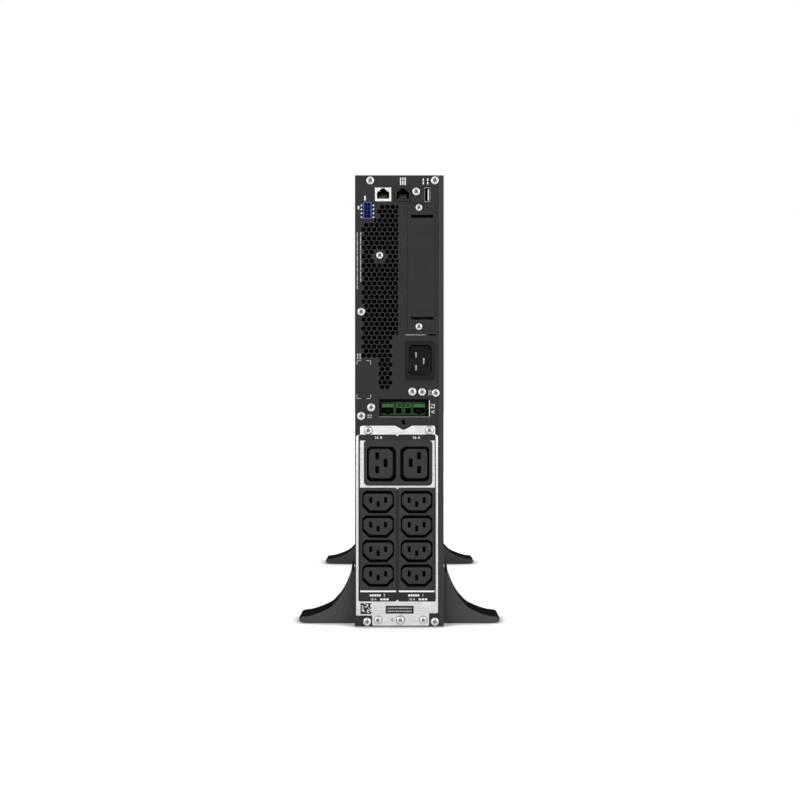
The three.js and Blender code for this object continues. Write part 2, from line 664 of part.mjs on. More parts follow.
// ---- fans ----
function fan(suffix, centreZ) {
  const half = FAN_SIZE / 2;
  const hub = 17;
  const bore = half - 2;
  const frame = rounded(-half, half, -half, half, 4);
  const struts = [0, 1, 2, 3].map((i) => {
    const bar = new THREE.BoxGeometry(bore - hub + 6, 2, 4).translate((bore + hub) / 2, 1, 0);
    return bar.rotateY((i * Math.PI) / 2 + Math.PI / 4);
  });
  const mount = rod(0, 0, hub, 0, 2, 20);
  const housing = join(punched(frame, [circle(0, 0, bore)], 0, FAN_DEPTH, 12), mount, ...struts);
  add(`fan_frame_${suffix}`, geometryOf(housing).translate(0, REAR + FAN_INSET, centreZ), FINISH.black);

  const bladeLength = bore - 2.5 - hub + 2;
  const blades = [0, 1, 2, 3, 4, 5, 6].map((i) => {
    const blade = new THREE.BoxGeometry(bladeLength, 1.6, 20).rotateX(0.7);
    return blade.translate(hub - 2 + bladeLength / 2, 13, 0).rotateY((i * 2 * Math.PI) / 7);
  });
  const rotor = join(rod(0, 0, hub, 3, 22, 20), ...blades);
  add(`fan_rotor_${suffix}`, geometryOf(rotor).translate(0, REAR + FAN_INSET, centreZ), FINISH.ferrite);
}

// ---- front ----
const BEZEL_SPLIT = fromTop(134.5);
const DISPLAY_TOP = fromTop(14);
const DISPLAY_FACE = FRONT - 1.5;
const HINGE = { y: DISPLAY_FACE - 7, z: DISPLAY_TOP - 4 };

function bezelShell(z0, z1) {
  return cut(
    pushY(rounded(LEFT, RIGHT, z0, z1, 4), CASE_FRONT + GAP, FRONT, 3),
    box(LEFT + BEZEL_WALL, RIGHT - BEZEL_WALL, CASE_FRONT, FRONT - BEZEL_WALL, z0 + BEZEL_WALL, z1 - BEZEL_WALL),
  );
}

function batteryCover() {
  const slots = [];
  const count = 14;
  for (let i = 0; i < count; i++) {
    const z = 30 + ((BEZEL_SPLIT - 60) * i) / (count - 1);
    slots.push(box(LEFT + 12, RIGHT - 12, FRONT - BEZEL_WALL - 1, FRONT + 1, z - 1.5, z + 1.5));
  }
  add('battery_cover', cut(bezelShell(0, BEZEL_SPLIT - GAP), ...slots), FINISH.bezel);
}

function displayBezel() {
  const halfWidth = DISPLAY.width / 2 + 1;
  const opening = box(
    -halfWidth,
    halfWidth,
    CASE_FRONT,
    FRONT + 1,
    DISPLAY_TOP - DISPLAY.height - 2,
    DISPLAY_TOP + 5,
  );
  const cheek = (side) => {
    const block = boxAt(side * (halfWidth + 2), HINGE.y, HINGE.z, 4, 14, 14);
    const bore = new THREE.CylinderGeometry(2.4, 2.4, 6, 16).rotateZ(Math.PI / 2);
    return cut(block, bore.translate(side * (halfWidth + 2), HINGE.y, HINGE.z));
  };
  const shell = cut(bezelShell(BEZEL_SPLIT + GAP, HEIGHT), opening);
  add('display_bezel', join(shell, cheek(1), cheek(-1)), FINISH.bezel);
}

function display() {
  const half = DISPLAY.width / 2;
  const bottom = DISPLAY_TOP - DISPLAY.height;
  const windowZ = DISPLAY_TOP - 40;
  const keyZ = bottom + 31;
  const powerZ = bottom + 14;
  const windowDepth = 2;
  const keyHalf = { x: 4.5, z: 3 };
  const powerRadius = 6;
  const keys = [-21, -7, 7, 21];
  const pocketFloor = DISPLAY_FACE - KEY_POCKET;
  const pinLength = half + 4;
  const pins = new THREE.CylinderGeometry(2, 2, 2 * pinLength, 16).rotateZ(Math.PI / 2).translate(0, HINGE.y, HINGE.z);
  const body = pushY(rounded(-half, half, bottom, DISPLAY_TOP, 3), DISPLAY_FACE - DISPLAY.depth, DISPLAY_FACE, 3);
  const room = GAP;
  const pockets = [
    box(-24, 24, DISPLAY_FACE - windowDepth - 2 * room, FRONT, windowZ - 26, windowZ + 26),
    rod(0, powerZ, powerRadius + room, pocketFloor, FRONT, 24),
    ...keys.map((x) => boxAt(x, pocketFloor + 5, keyZ, 2 * (keyHalf.x + room), 10, 2 * (keyHalf.z + room))),
  ];
  add('display_housing', cut(join(body, pins), ...pockets), FINISH.bezel);
  const pane = box(
    -24 + room,
    24 - room,
    DISPLAY_FACE - windowDepth - room,
    DISPLAY_FACE - room,
    windowZ - 26 + room,
    windowZ + 26 - room,
  );
  add('display_window', pane, FINISH.window);
  const keyFace = DISPLAY_FACE + KEY_TRAVEL;
  const keyBack = DISPLAY_FACE - KEY_POCKET + KEY_TRAVEL + 1;
  add('power_button', rod(0, powerZ, powerRadius, keyBack, keyFace, 24), FINISH.key);
  keys.forEach((x, i) => {
    const cap = box(x - keyHalf.x, x + keyHalf.x, keyBack, keyFace, keyZ - keyHalf.z, keyZ + keyHalf.z);
    add(`key_${i + 1}`, cap, FINISH.key);
  });
}

basePan();
topCover();
rearPanel();
outputPlate();
outletPair();
outletStrip('outlet_strip_left', STRIP_LEFT);
outletStrip('outlet_strip_right', STRIP_RIGHT);
mainsInlet();
modularJack('network_jack', NETWORK, FINISH.ivory);
modularJack('serial_jack', SERIAL, FINISH.black);
usbPort();
emergencyTerminal();
batteryPort();
cardSlot();
const footFaces = [
  ['rear', REAR + REAR_FOOT_INSET],
  ['front', CASE_FRONT - FRONT_FOOT_INSET - FOOT_DEPTH],
];
for (const [end, rearFace] of footFaces) {
  foot(`foot_${end}_left`, -1, rearFace);
  foot(`foot_${end}_right`, 1, rearFace);
}
batteryModule();
electronics();
fan('lower', BAY_FLOOR + FAN_MARGIN + FAN_SIZE / 2);
fan('upper', HEIGHT - FAN_MARGIN - FAN_SIZE / 2);
batteryCover();
displayBezel();
display();

export default ups;
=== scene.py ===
import json
import math

import bmesh
import bpy
from bpy.props import FloatProperty, IntProperty, PointerProperty
from mathutils import Matrix, Vector


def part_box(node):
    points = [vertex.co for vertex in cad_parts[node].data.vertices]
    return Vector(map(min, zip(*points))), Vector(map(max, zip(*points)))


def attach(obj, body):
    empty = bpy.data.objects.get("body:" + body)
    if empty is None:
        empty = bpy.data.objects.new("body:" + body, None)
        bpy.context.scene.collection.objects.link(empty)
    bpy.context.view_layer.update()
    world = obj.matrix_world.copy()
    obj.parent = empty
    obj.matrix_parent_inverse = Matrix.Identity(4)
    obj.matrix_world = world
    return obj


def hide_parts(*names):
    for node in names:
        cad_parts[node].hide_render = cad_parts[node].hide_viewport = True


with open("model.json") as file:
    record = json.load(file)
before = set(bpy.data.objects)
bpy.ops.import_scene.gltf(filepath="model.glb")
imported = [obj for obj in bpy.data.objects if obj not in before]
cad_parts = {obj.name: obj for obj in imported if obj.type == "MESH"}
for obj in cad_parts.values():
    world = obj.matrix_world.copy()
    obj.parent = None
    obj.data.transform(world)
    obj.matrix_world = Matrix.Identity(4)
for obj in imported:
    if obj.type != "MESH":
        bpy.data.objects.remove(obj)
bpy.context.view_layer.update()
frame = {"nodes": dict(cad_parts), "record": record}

bl_info = {
    "name": "Tower UPS finish",
    "version": (1, 0, 0),
    "blender": (4, 5, 0),
    "location": "3D View > Sidebar > UPS",
    "description": "Rear sockets, sheet metal, feet, battery module and display of a two-unit tower UPS",
    "category": "Add Mesh",
}

MM = 0.001
# Lengths under this, in metres, count as none.
TINY = 1e-7
RECORD = frame["record"]
BODY_OF = {node: body for body, nodes in RECORD["behaviour"]["bodies"].items() for node in nodes}
SLOT_OF = {part["node"]: part["material_slot"] for part in RECORD["subparts"]}

PANEL_LOW, PANEL_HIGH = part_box("rear_panel")
REAR = PANEL_LOW.y
TOP = PANEL_HIGH.z
LEFT = PANEL_LOW.x
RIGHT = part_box("top_cover")[1].x
PLATE_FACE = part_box("output_plate")[0].y


def mm(*values):
    """Millimetres to metres."""
    return [value * MM for value in values]


def below_top(distance):
    """A height in metres, given as millimetres under the case's top."""
    return TOP - distance * MM


# ---------------------------------------------------------------- settings


def length(name, description, value, **options):
    """A length setting, given in millimetres."""
    return FloatProperty(name=name, description=description, default=value * MM, unit="LENGTH", **options)


class UPS_PG_case(bpy.types.PropertyGroup):
    """Sheet metal of the case."""

    edge: length("Edge", "Rounding of folded edges", 0.6, min=0.0, precision=4)
    segments: IntProperty(name="Segments", description="Steps across a rounded edge", default=3, min=1, max=8)


class UPS_PG_sockets(bpy.types.PropertyGroup):
    """Mains sockets on the rear."""

    edge: length("Edge", "Rounding of moulded edges", 0.35, min=0.0, precision=4)
    depth: length("Groove depth", "Depth of the groove round a core", 20)


class UPS_PG_screws(bpy.types.PropertyGroup):
    """Pan-head screws."""

    height: length("Height", "Height of a head", 1.9, precision=4)


class UPS_PG_print(bpy.types.PropertyGroup):
    """Printed marks."""

    thickness: length("Thickness", "Thickness of the ink", 0.04, precision=5)


class UPS_PG_stage(bpy.types.PropertyGroup):
    """Camera and light."""

    lens: FloatProperty(name="Lens", description="Focal length", default=56.35, unit="CAMERA")
    distance: length("Distance", "Camera to the rear panel", 1198.5)
    height: length("Height", "Camera above the floor", 216.9)
    fill: FloatProperty(name="Fill", description="Strength of the soft light all round", default=0.6, min=0.0)


# ---------------------------------------------------------------- materials

MATERIALS = {}


def linear(colour):
    """An sRGB hex colour as linear red, green, blue and alpha."""
    channels = [int(colour[i : i + 2], 16) / 255 for i in (1, 3, 5)]
    return [c / 12.92 if c <= 0.04045 else ((c + 0.055) / 1.055) ** 2.4 for c in channels] + [1.0]


def node(tree, kind, inputs=None, **settings):
    """Adds a shader node with its settings, input values and links."""
    new = tree.nodes.new(kind)
    for key, value in settings.items():
        setattr(new, key, value)
    for key, value in (inputs or {}).items():
        if isinstance(value, bpy.types.NodeSocket):
            tree.links.new(value, new.inputs[key])
        else:
            new.inputs[key].default_value = value
    return new


def surface(name, colour, roughness, metallic=0.0, ior=None, coat=0.0, shine=0.5):
    """A material with a Principled shader; returns its tree, shader and object coordinates."""
    material = bpy.data.materials.new(name)
    material.use_nodes = True
    tree = material.node_tree
    tree.nodes.clear()
    shader = node(tree, "ShaderNodeBsdfPrincipled")
    shader.inputs["Base Color"].default_value = linear(colour)
    shader.inputs["Roughness"].default_value = roughness
    shader.inputs["Metallic"].default_value = metallic
    shader.inputs["Coat Weight"].default_value = coat
    shader.inputs["Specular IOR Level"].default_value = shine
    if ior:
        shader.inputs["IOR"].default_value = ior
    node(tree, "ShaderNodeOutputMaterial", {"Surface": shader.outputs[0]})
    place = node(tree, "ShaderNodeTexCoord").outputs["Object"]
    MATERIALS[name] = material
    return tree, shader, place


def grain(tree, shader, place, size, depth, colours, spread=(0.35, 0.65), detail=3.0):
    """Mottles a surface between two colours; size and depth of the grain are in millimetres."""
    noise = node(tree, "ShaderNodeTexNoise", {"Vector": place, "Scale": 1000 / size, "Detail": detail})
    ramp = node(tree, "ShaderNodeValToRGB", {"Fac": noise.outputs["Fac"]})
    ramp.color_ramp.elements[0].position = spread[0]
    ramp.color_ramp.elements[1].position = spread[1]
    ramp.color_ramp.elements[0].color = linear(colours[0])
    ramp.color_ramp.elements[1].color = linear(colours[1])
    tree.links.new(ramp.outputs["Color"], shader.inputs["Base Color"])
    relief = {"Height": noise.outputs["Fac"], "Distance": depth * MM, "Strength": 0.6}
    bump = node(tree, "ShaderNodeBump", relief)
    tree.links.new(bump.outputs["Normal"], shader.inputs["Normal"])


def roughness_drift(tree, shader, place, size, low, high):
    """Slow change of gloss, as handling and moulding leave it."""
    noise = node(tree, "ShaderNodeTexNoise", {"Vector": place, "Scale": 1000 / size, "Detail": 2.0})
    spread = node(tree, "ShaderNodeMapRange", {"Value": noise.outputs["Fac"], "To Min": low, "To Max": high})
    tree.links.new(spread.outputs["Result"], shader.inputs["Roughness"])


def powder_coat(name, low, high):
    """Polyester powder coat on steel: dark grey, fine orange peel, dull sheen."""
    tree, shader, place = surface(name, low, 0.6, ior=1.45, shine=0.3)
    # Real peel is near 0.6 mm; it is drawn at 1.1 mm so that it shows.
    grain(tree, shader, place, 1.1, 0.05, (low, high))
    roughness_drift(tree, shader, place, 60, 0.52, 0.68)


def zinc_sheet(name, low, high, roughness):
    """Electrogalvanised steel sheet: pale grey with faint rolling lines and clouding."""
    tree, shader, place = surface(name, low, roughness, metallic=1.0)
    stretched = node(tree, "ShaderNodeMapping", {"Vector": place, "Scale": (1.0, 1.0, 14.0)})
    grain(tree, shader, stretched.outputs["Vector"], 9, 0.01, (low, high))
    roughness_drift(tree, shader, place, 25, roughness - 0.07, roughness + 0.07)


def label_film():
    """Screen-printed polycarbonate film: near-black, satin, faintly pebbled."""
    tree, shader, place = surface("label_film", "#171718", 0.5, ior=1.5, shine=0.35)
    grain(tree, shader, place, 0.9, 0.01, ("#151516", "#1a1a1b"))


def moulded(name, low, high, roughness, size=0.9, shine=0.3):
    """Spark-eroded moulded thermoplastic: a fine even grain that swallows most of the shine."""
    tree, shader, place = surface(name, low, roughness, ior=1.5, shine=shine)
    grain(tree, shader, place, size, 0.03, (low, high))
    roughness_drift(tree, shader, place, 18, roughness - 0.06, roughness + 0.06)


def plain_metal(name, low, high, roughness, size, depth):
    """Bare or plated metal with a fine even grain."""
    tree, shader, place = surface(name, low, roughness, metallic=1.0)
    grain(tree, shader, place, size, depth, (low, high))


def drawn_metal(name, low, high, roughness, stretch, size, depth):
    """Metal with fine lines along Y, as a die or a drawing press leaves them."""
    tree, shader, place = surface(name, low, roughness, metallic=1.0)
    along = node(tree, "ShaderNodeMapping", {"Vector": place, "Scale": stretch})
    grain(tree, shader, along.outputs["Vector"], size, depth, (low, high))


def ink(name, colour):
    """Screen-print ink: flat, slightly chalky, thin at its edges."""
    tree, shader, place = surface(name, colour, 0.7, ior=1.45)
    grain(tree, shader, place, 0.5, 0.005, (colour, colour), spread=(0.2, 0.8))


def circuit_board():
    """Glass-epoxy board under green solder mask, with copper tracks showing through."""
    tree, shader, place = surface("circuit_board", "#14432a", 0.35, ior=1.5, coat=0.2)
    grid = {"Vector": place, "Scale": 1000 / 7}
    cells = node(tree, "ShaderNodeTexVoronoi", grid, feature="F1", distance="MANHATTAN")
    ramp = node(tree, "ShaderNodeValToRGB", {"Fac": cells.outputs["Distance"]})
    ramp.color_ramp.interpolation = "CONSTANT"
    ramp.color_ramp.elements[0].color = linear("#1d5a39")
    ramp.color_ramp.elements[1].position = 0.45
    ramp.color_ramp.elements[1].color = linear("#14432a")
    tree.links.new(ramp.outputs["Color"], shader.inputs["Base Color"])


def copper_winding():
    """Enamelled copper wire wound on a ring: close round turns, amber varnish."""
    tree, shader, place = surface("copper_winding", "#a4622f", 0.3, metallic=1.0, coat=0.5)
    wave = node(tree, "ShaderNodeTexWave", {"Vector": place, "Scale": 1000 / 20 / 1.6}, bands_direction="Z")
    bump = node(tree, "ShaderNodeBump", {"Height": wave.outputs["Fac"], "Distance": 0.6 * MM})
    tree.links.new(bump.outputs["Normal"], shader.inputs["Normal"])
    ramp = node(tree, "ShaderNodeValToRGB", {"Fac": wave.outputs["Fac"]})
    ramp.color_ramp.elements[0].color = linear("#5c3115")
    ramp.color_ramp.elements[1].color = linear("#b36d36")
    tree.links.new(ramp.outputs["Color"], shader.inputs["Base Color"])


def display_glass():
    """Tinted acrylic window over a dark liquid-crystal panel."""
    tree, shader, place = surface("display_glass", "#0c1a20", 0.08, ior=1.49, coat=1.0)
    grain(tree, shader, place, 30, 0.002, ("#0b171d", "#0e1e26"))


def status_lens():
    """Diffusing lens over a green status light."""
    tree, shader, place = surface("status_lens", "#3fae5a", 0.3, ior=1.49)
    grain(tree, shader, place, 2, 0.01, ("#37a052", "#49b864"))
    shader.inputs["Emission Color"].default_value = linear("#3fae5a")
    shader.inputs["Emission Strength"].default_value = 0.4


def make_materials():
    powder_coat("powder_coat", "#1f1f20", "#262627")
    # The cover is the panel's paint in a lighter copy: a painted sheen on its bent lip.
    powder_coat("cover_coat_painted_sheen", "#2d2d2e", "#343435")
    zinc_sheet("zinc_plate", "#dadcdc", "#eeefef", 0.43)
    zinc_sheet("tray_zinc", "#8d9091", "#a2a5a6", 0.55)
    label_film()
    # Sockets and inlet: glass-filled nylon, dull and even; the inlet's deep floor is painted a little
    # lighter, as painted light.
    moulded("socket_nylon", "#252526", "#2b2b2c", 0.5)
    moulded("black_nylon", "#141415", "#191a1a", 0.45, shine=0.2)
    moulded("inlet_flange", "#131314", "#181819", 0.5, shine=0.2)
    moulded("inlet_floor_painted_light", "#424244", "#4c4c4e", 0.5)
    # Jacks and terminals: smoother polyamide in each connector's own colour; the blue rim and the green marks
    # are painted lighter as painted highlights, the blue well near black as painted shade.
    moulded("jack_black", "#1a1a1b", "#202021", 0.4)
    moulded("ivory_plastic", "#d9d7d1", "#e4e2dd", 0.4)
    moulded("lamp_window", "#bfc1ba", "#dcded8", 0.3, size=1.2)
    moulded("blue_plastic", "#021352", "#041a60", 0.4, shine=0.2)
    moulded("blue_rim_painted_highlight", "#3a4f8c", "#465c9a", 0.4)
    moulded("blue_well_painted_shade", "#010622", "#020a2e", 0.5, shine=0.1)
    moulded("green_plastic", "#042a04", "#073506", 0.45)
    moulded("green_painted_highlight", "#295a27", "#33642f", 0.4)
    # Painted shade: near black for hollows that no light reaches.
    moulded("cavity_painted_shade", "#040404", "#070707", 0.8, shine=0.03)
    moulded("recess_painted_shade", "#030303", "#050505", 0.8, shine=0.03)
    # Black oxide on the side screws: near black, with a slight oily shine.
    moulded("black_oxide", "#0c0c0d", "#131314", 0.35, shine=0.5)
    # Feet: grained ABS faces; upper rims painted near black, a painted shade for the dark they mirror; clips
    # against the case painted paler, a painted highlight.
    moulded("foot_plastic", "#393939", "#404041", 0.45, size=1.3)
    moulded("foot_rim_painted_shade", "#020202", "#040404", 0.5, size=2, shine=0.01)
    moulded("foot_clip_painted_highlight", "#5c5d5e", "#68696a", 0.35)
    # Front: finely textured ABS, and rubbery keys a shade lighter.
    moulded("bezel_plastic", "#161718", "#1d1e1f", 0.5, size=1.2)
    moulded("key_rubber", "#2c2e30", "#343638", 0.55)
    # Inside: lacquered core, vinyl sleeves, ABS battery cases, red and black terminal pads.
    moulded("core_black", "#202022", "#2a2a2d", 0.6)
    moulded("sleeve_vinyl", "#141f33", "#1b2942", 0.3)
    moulded("battery_abs", "#3c3f44", "#474a50", 0.55, size=1.4)
    moulded("battery_lid", "#2a2c30", "#33363a", 0.5, size=1.4)
    moulded("lead_red", "#7c1712", "#94211a", 0.4)
    moulded("lead_black", "#101011", "#18181a", 0.4)
    # Bright zinc plate on screw heads. A duller zinc painted darker, as painted shade, for the crosses, the
    # washers and the USB shell.
    plain_metal("screw_zinc", "#d4d8d9", "#eceeee", 0.28, 0.7, 0.01)
    plain_metal("zinc_painted_shade", "#6f7374", "#94999a", 0.5, 0.6, 0.02)
    # Brass leaves deep in a socket are painted near black as painted shade; tin-plated jack wires catch some
    # light.
    plain_metal("contact_metal_painted_shade", "#292723", "#36332e", 0.5, 0.8, 0.01)
    plain_metal("jack_contact", "#6f6d68", "#83817b", 0.5, 0.8, 0.01)
    # Gold flash on contact wires: a faint warm glint.
    plain_metal("gold_contact", "#83795f", "#9a907c", 0.4, 0.5, 0.005)
    # Nickel-plated blades and mill-finish aluminium: fine streaks along their length.
    drawn_metal("pin_nickel", "#9b9994", "#b0aea8", 0.3, (8.0, 0.4, 8.0), 3, 0.005)
    drawn_metal("aluminium", "#adb0b2", "#c4c7c9", 0.38, (12.0, 0.5, 12.0), 8, 0.01)
    ink("white_ink", "#e6e6e4")
    ink("grey_ink", "#9d9f9f")
    ink("black_ink", "#161617")
    circuit_board()
    copper_winding()
    display_glass()
    status_lens()


# Finishes of the slots that aren't named after their finish.
FINISH_OF_SLOT = {
    "case_paint": "powder_coat",
    "screw_steel": "screw_zinc",
    "capacitor_sleeve": "sleeve_vinyl",
    "battery_case": "battery_abs",
    "key_plastic": "key_rubber",
}


def finish_of(node_name):
    """The name of a CAD node's own finish."""
    return FINISH_OF_SLOT.get(SLOT_OF[node_name], SLOT_OF[node_name])


# ---------------------------------------------------------------- shapes


def inset(low, high, x=0.0, z=0.0):
    """Left, right, bottom and top of a box, drawn in by x and z millimetres."""
    return low.x + x * MM, high.x - x * MM, low.z + z * MM, high.z - z * MM


def around(x, z, half_x, half_z):
    """Left, right, bottom and top of a rectangle about a point."""
    return x - half_x, x + half_x, z - half_z, z + half_z


def rectangle(x0, x1, z0, z1):
    return [(x0, z0), (x1, z0), (x1, z1), (x0, z1)]


def filleted(corners, steps=5):
    """A closed outline from (x, z, radius) corners; each corner becomes an arc."""
    points = []
    count = len(corners)
    for i, (x, z, radius) in enumerate(corners):
        here = Vector((x, z))
        if radius <= 0:
            points.append((x, z))
            continue
        back = (Vector(corners[i - 1][:2]) - here).normalized()
        ahead = (Vector(corners[(i + 1) % count][:2]) - here).normalized()
        half = back.angle(ahead) / 2
        centre = here + (back + ahead).normalized() * (radius / math.sin(half))
        start = here + back * (radius / math.tan(half)) - centre
        end = here + ahead * (radius / math.tan(half)) - centre
        sweep = start.angle_signed(end)
        for k in range(steps + 1):
            turned = start.copy()
            turned.rotate(Matrix.Rotation(-sweep * k / steps, 2))
            points.append(tuple(centre + turned))
    return points


def soft_rectangle(x0, x1, z0, z1, radius, steps=5):
    return filleted([(x, z, radius) for x, z in rectangle(x0, x1, z0, z1)], steps)


def cut_corners(x0, x1, z0, z1, cuts, radius=0.0, steps=3):
    """A rectangle with corners cut off, from lower left round to upper left, each cut's ends rounded."""
    lower_left, lower_right, upper_right, upper_left = cuts
    corners = [
        (x0 + lower_left, z0),
        (x1 - lower_right, z0),
        (x1, z0 + lower_right),
        (x1, z1 - upper_right),
        (x1 - upper_right, z1),
        (x0 + upper_left, z1),
        (x0, z1 - upper_left),
        (x0, z0 + lower_left),
    ]
    return filleted([(x, z, radius) for x, z in corners], steps)


def circle(x, z, radius, sides=32):
    turns = [2 * math.pi * k / sides for k in range(sides)]
    return [(x + radius * math.cos(t), z + radius * math.sin(t)) for t in turns]


def rounded(bm, edges, width, segments, clamp=True):
    """Rounds edges off; clamp keeps neighbouring roundings from crossing."""
    bmesh.ops.bevel(
        bm, geom=edges, offset=width, segments=segments, profile=0.5, affect="EDGES",
        clamp_overlap=clamp, material=-1,
    )


def extruded(bm, depth):
    """Thickens all faces by depth along Y."""
    raised = bmesh.ops.extrude_face_region(bm, geom=bm.faces[:])
    far = [item for item in raised["geom"] if isinstance(item, bmesh.types.BMVert)]
    bmesh.ops.translate(bm, verts=far, vec=(0, depth, 0))
    bmesh.ops.recalc_face_normals(bm, faces=bm.faces[:])


def painted(bm, material):
    """Gives every face the same material index."""
    for face in bm.faces:
        face.material_index = material
    return bm


def plate(outlines, y0, y1, edge=0.0, segments=2, material=0):
    """A solid from y0 to y1: a rim outline, then holes. edge rounds its -Y side."""
    bm = bmesh.new()
    edges = []
    for outline in outlines:
        verts = [bm.verts.new((x, y0, z)) for x, z in outline]
        edges += [bm.edges.new(pair) for pair in zip(verts, verts[1:] + verts[:1])]
    bmesh.ops.triangle_fill(bm, use_beauty=True, use_dissolve=len(outlines) > 1, edges=edges)
    extruded(bm, y1 - y0)
    if edge > 0:
        front = [e for e in bm.edges if all(abs(v.co.y - y0) < TINY for v in e.verts)]
        rounded(bm, [e for e in front if e.calc_face_angle(0) > 1.0], edge, segments)
    return painted(bm, material)


def block(sides, y0, y1, edge=0.0, segments=2, material=0):
    """A box with rounded edges; sides are its left, right, bottom and top."""
    x0, x1, z0, z1 = sides
    bm = bmesh.new()
    bmesh.ops.create_cube(bm, size=1)
    bmesh.ops.scale(bm, vec=(x1 - x0, y1 - y0, z1 - z0), verts=bm.verts)
    bmesh.ops.translate(bm, vec=((x0 + x1) / 2, (y0 + y1) / 2, (z0 + z1) / 2), verts=bm.verts)
    if edge > 0:
        rounded(bm, bm.edges[:], edge, segments, clamp=False)
    return painted(bm, material)


def revolved(profile, steps):
    """A surface turned about Y from (radius, y) points."""
    bm = bmesh.new()
    verts = [bm.verts.new((radius, y, 0)) for radius, y in profile]
    edges = [bm.edges.new(pair) for pair in zip(verts, verts[1:])]
    bmesh.ops.spin(
        bm, geom=verts + edges, cent=(0, 0, 0), axis=(0, 1, 0), angle=2 * math.pi, steps=steps, use_merge=True
    )
    bmesh.ops.remove_doubles(bm, verts=bm.verts[:], dist=TINY)
    return bm


def turned(profile, steps=32, material=0):
    """A solid turned about Y; its (radius, y) points are in millimetres, from axis to axis."""
    bm = revolved([mm(*point) for point in profile], steps)
    bmesh.ops.recalc_face_normals(bm, faces=bm.faces[:])
    return painted(bm, material)


def moved(bm, x=0.0, y=0.0, z=0.0, turn=0.0, axis="Y"):
    matrix = Matrix.Translation((x, y, z)) @ Matrix.Rotation(turn, 4, axis)
    bmesh.ops.transform(bm, matrix=matrix, verts=bm.verts[:])
    return bm


def gathered(parts):
    """Several shapes as one."""
    whole = bmesh.new()
    for part in parts:
        scratch = bpy.data.meshes.new("scratch")
        part.to_mesh(scratch)
        part.free()
        whole.from_mesh(scratch)
        bpy.data.meshes.remove(scratch)
    return whole


def piece(name, bm, finishes, body="chassis", slot=None, replaces=(), smooth=35, keep_normals=False):
    """Makes an object of the shape, at the origin, on its body, and hides the CAD nodes it replaces."""
    if not keep_normals:
        bmesh.ops.recalc_face_normals(bm, faces=bm.faces[:])
    mesh = bpy.data.meshes.new(name)
    bm.to_mesh(mesh)
    bm.free()
    for finish in finishes:
        mesh.materials.append(MATERIALS[finish])
    mesh.polygons.foreach_set("use_smooth", [True] * len(mesh.polygons))
    mesh.set_sharp_from_angle(angle=math.radians(smooth))
    obj = bpy.data.objects.new(name, mesh)
    bpy.context.scene.collection.objects.link(obj)
    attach(obj, body)
    if replaces:
        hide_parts(*replaces)
    return obj


def merged(node_name):
    """A copy of a CAD node's mesh with its seams closed."""
    bm = bmesh.new()
    bm.from_mesh(frame["nodes"][node_name].data)
    bmesh.ops.remove_doubles(bm, verts=bm.verts[:], dist=2e-6)
    return bm


def stand_in(node_name, bm, finishes, name=None, **options):
    """A piece that takes a CAD node's place, on its body."""
    return piece(
        name or node_name + "_finished", bm, finishes,
        body=BODY_OF[node_name], slot=SLOT_OF[node_name], replaces=[node_name], **options,
    )


def refined(node_name, edge, segments=2, finish=None):
    """A merged copy of a CAD node with its sharp edges rounded, in the node's place."""
    bm = merged(node_name)
    bmesh.ops.dissolve_limit(
        bm, angle_limit=math.radians(1), verts=bm.verts[:], edges=bm.edges[:], use_dissolve_boundaries=False
    )
    sharp = [e for e in bm.edges if e.is_manifold and e.calc_face_angle(0) > math.radians(30)]
    rounded(bm, sharp, edge, segments)
    return stand_in(node_name, bm, [finish or finish_of(node_name)], keep_normals=True)


def lettering(text, size, x, y, z, thickness, turn=0.0):
    """Numerals as a flat solid that faces -Y, centred on x and z."""
    curve = bpy.data.curves.new("numerals", "FONT")
    curve.body = text
    curve.size = size
    curve.align_x = "CENTER"
    curve.align_y = "CENTER"
    curve.extrude = thickness / 2
    holder = bpy.data.objects.new("numerals", curve)
    bpy.context.scene.collection.objects.link(holder)
    bpy.context.view_layer.update()
    mesh = bpy.data.meshes.new_from_object(holder.evaluated_get(bpy.context.evaluated_depsgraph_get()))
    bpy.data.objects.remove(holder)
    bpy.data.curves.remove(curve)
    bm = bmesh.new()
    bm.from_mesh(mesh)
    bpy.data.meshes.remove(mesh)
    bmesh.ops.remove_doubles(bm, verts=bm.verts[:], dist=1e-6)
    upright = Matrix.Rotation(math.pi / 2, 4, "X")
    matrix = Matrix.Translation((x, y - thickness / 2, z)) @ Matrix.Rotation(turn, 4, "Y") @ upright
    bmesh.ops.transform(bm, matrix=matrix, verts=bm.verts[:])
    return bm


# ---------------------------------------------------------------- stage


# Painted contact shadow on the floor: its reach, how fast it fades, and the share of light left at its
# darkest.
CONTACT_REACH, CONTACT_FADE, CONTACT_LIGHT = 18 * MM, 5.0, 0.38
# Each light's place, size and power.
LIGHTS = [
    ("overhead", (0.0, -0.3, 2.4), (2.4, 2.4), 10),
    ("front_left", (-1.7, -2.2, 1.2), (1.4, 1.4), 26),
    ("front_right", (1.7, -2.2, 1.2), (1.4, 1.4), 26),
    ("back", (0.0, 2.4, 1.7), (2.0, 1.2), 14),
]


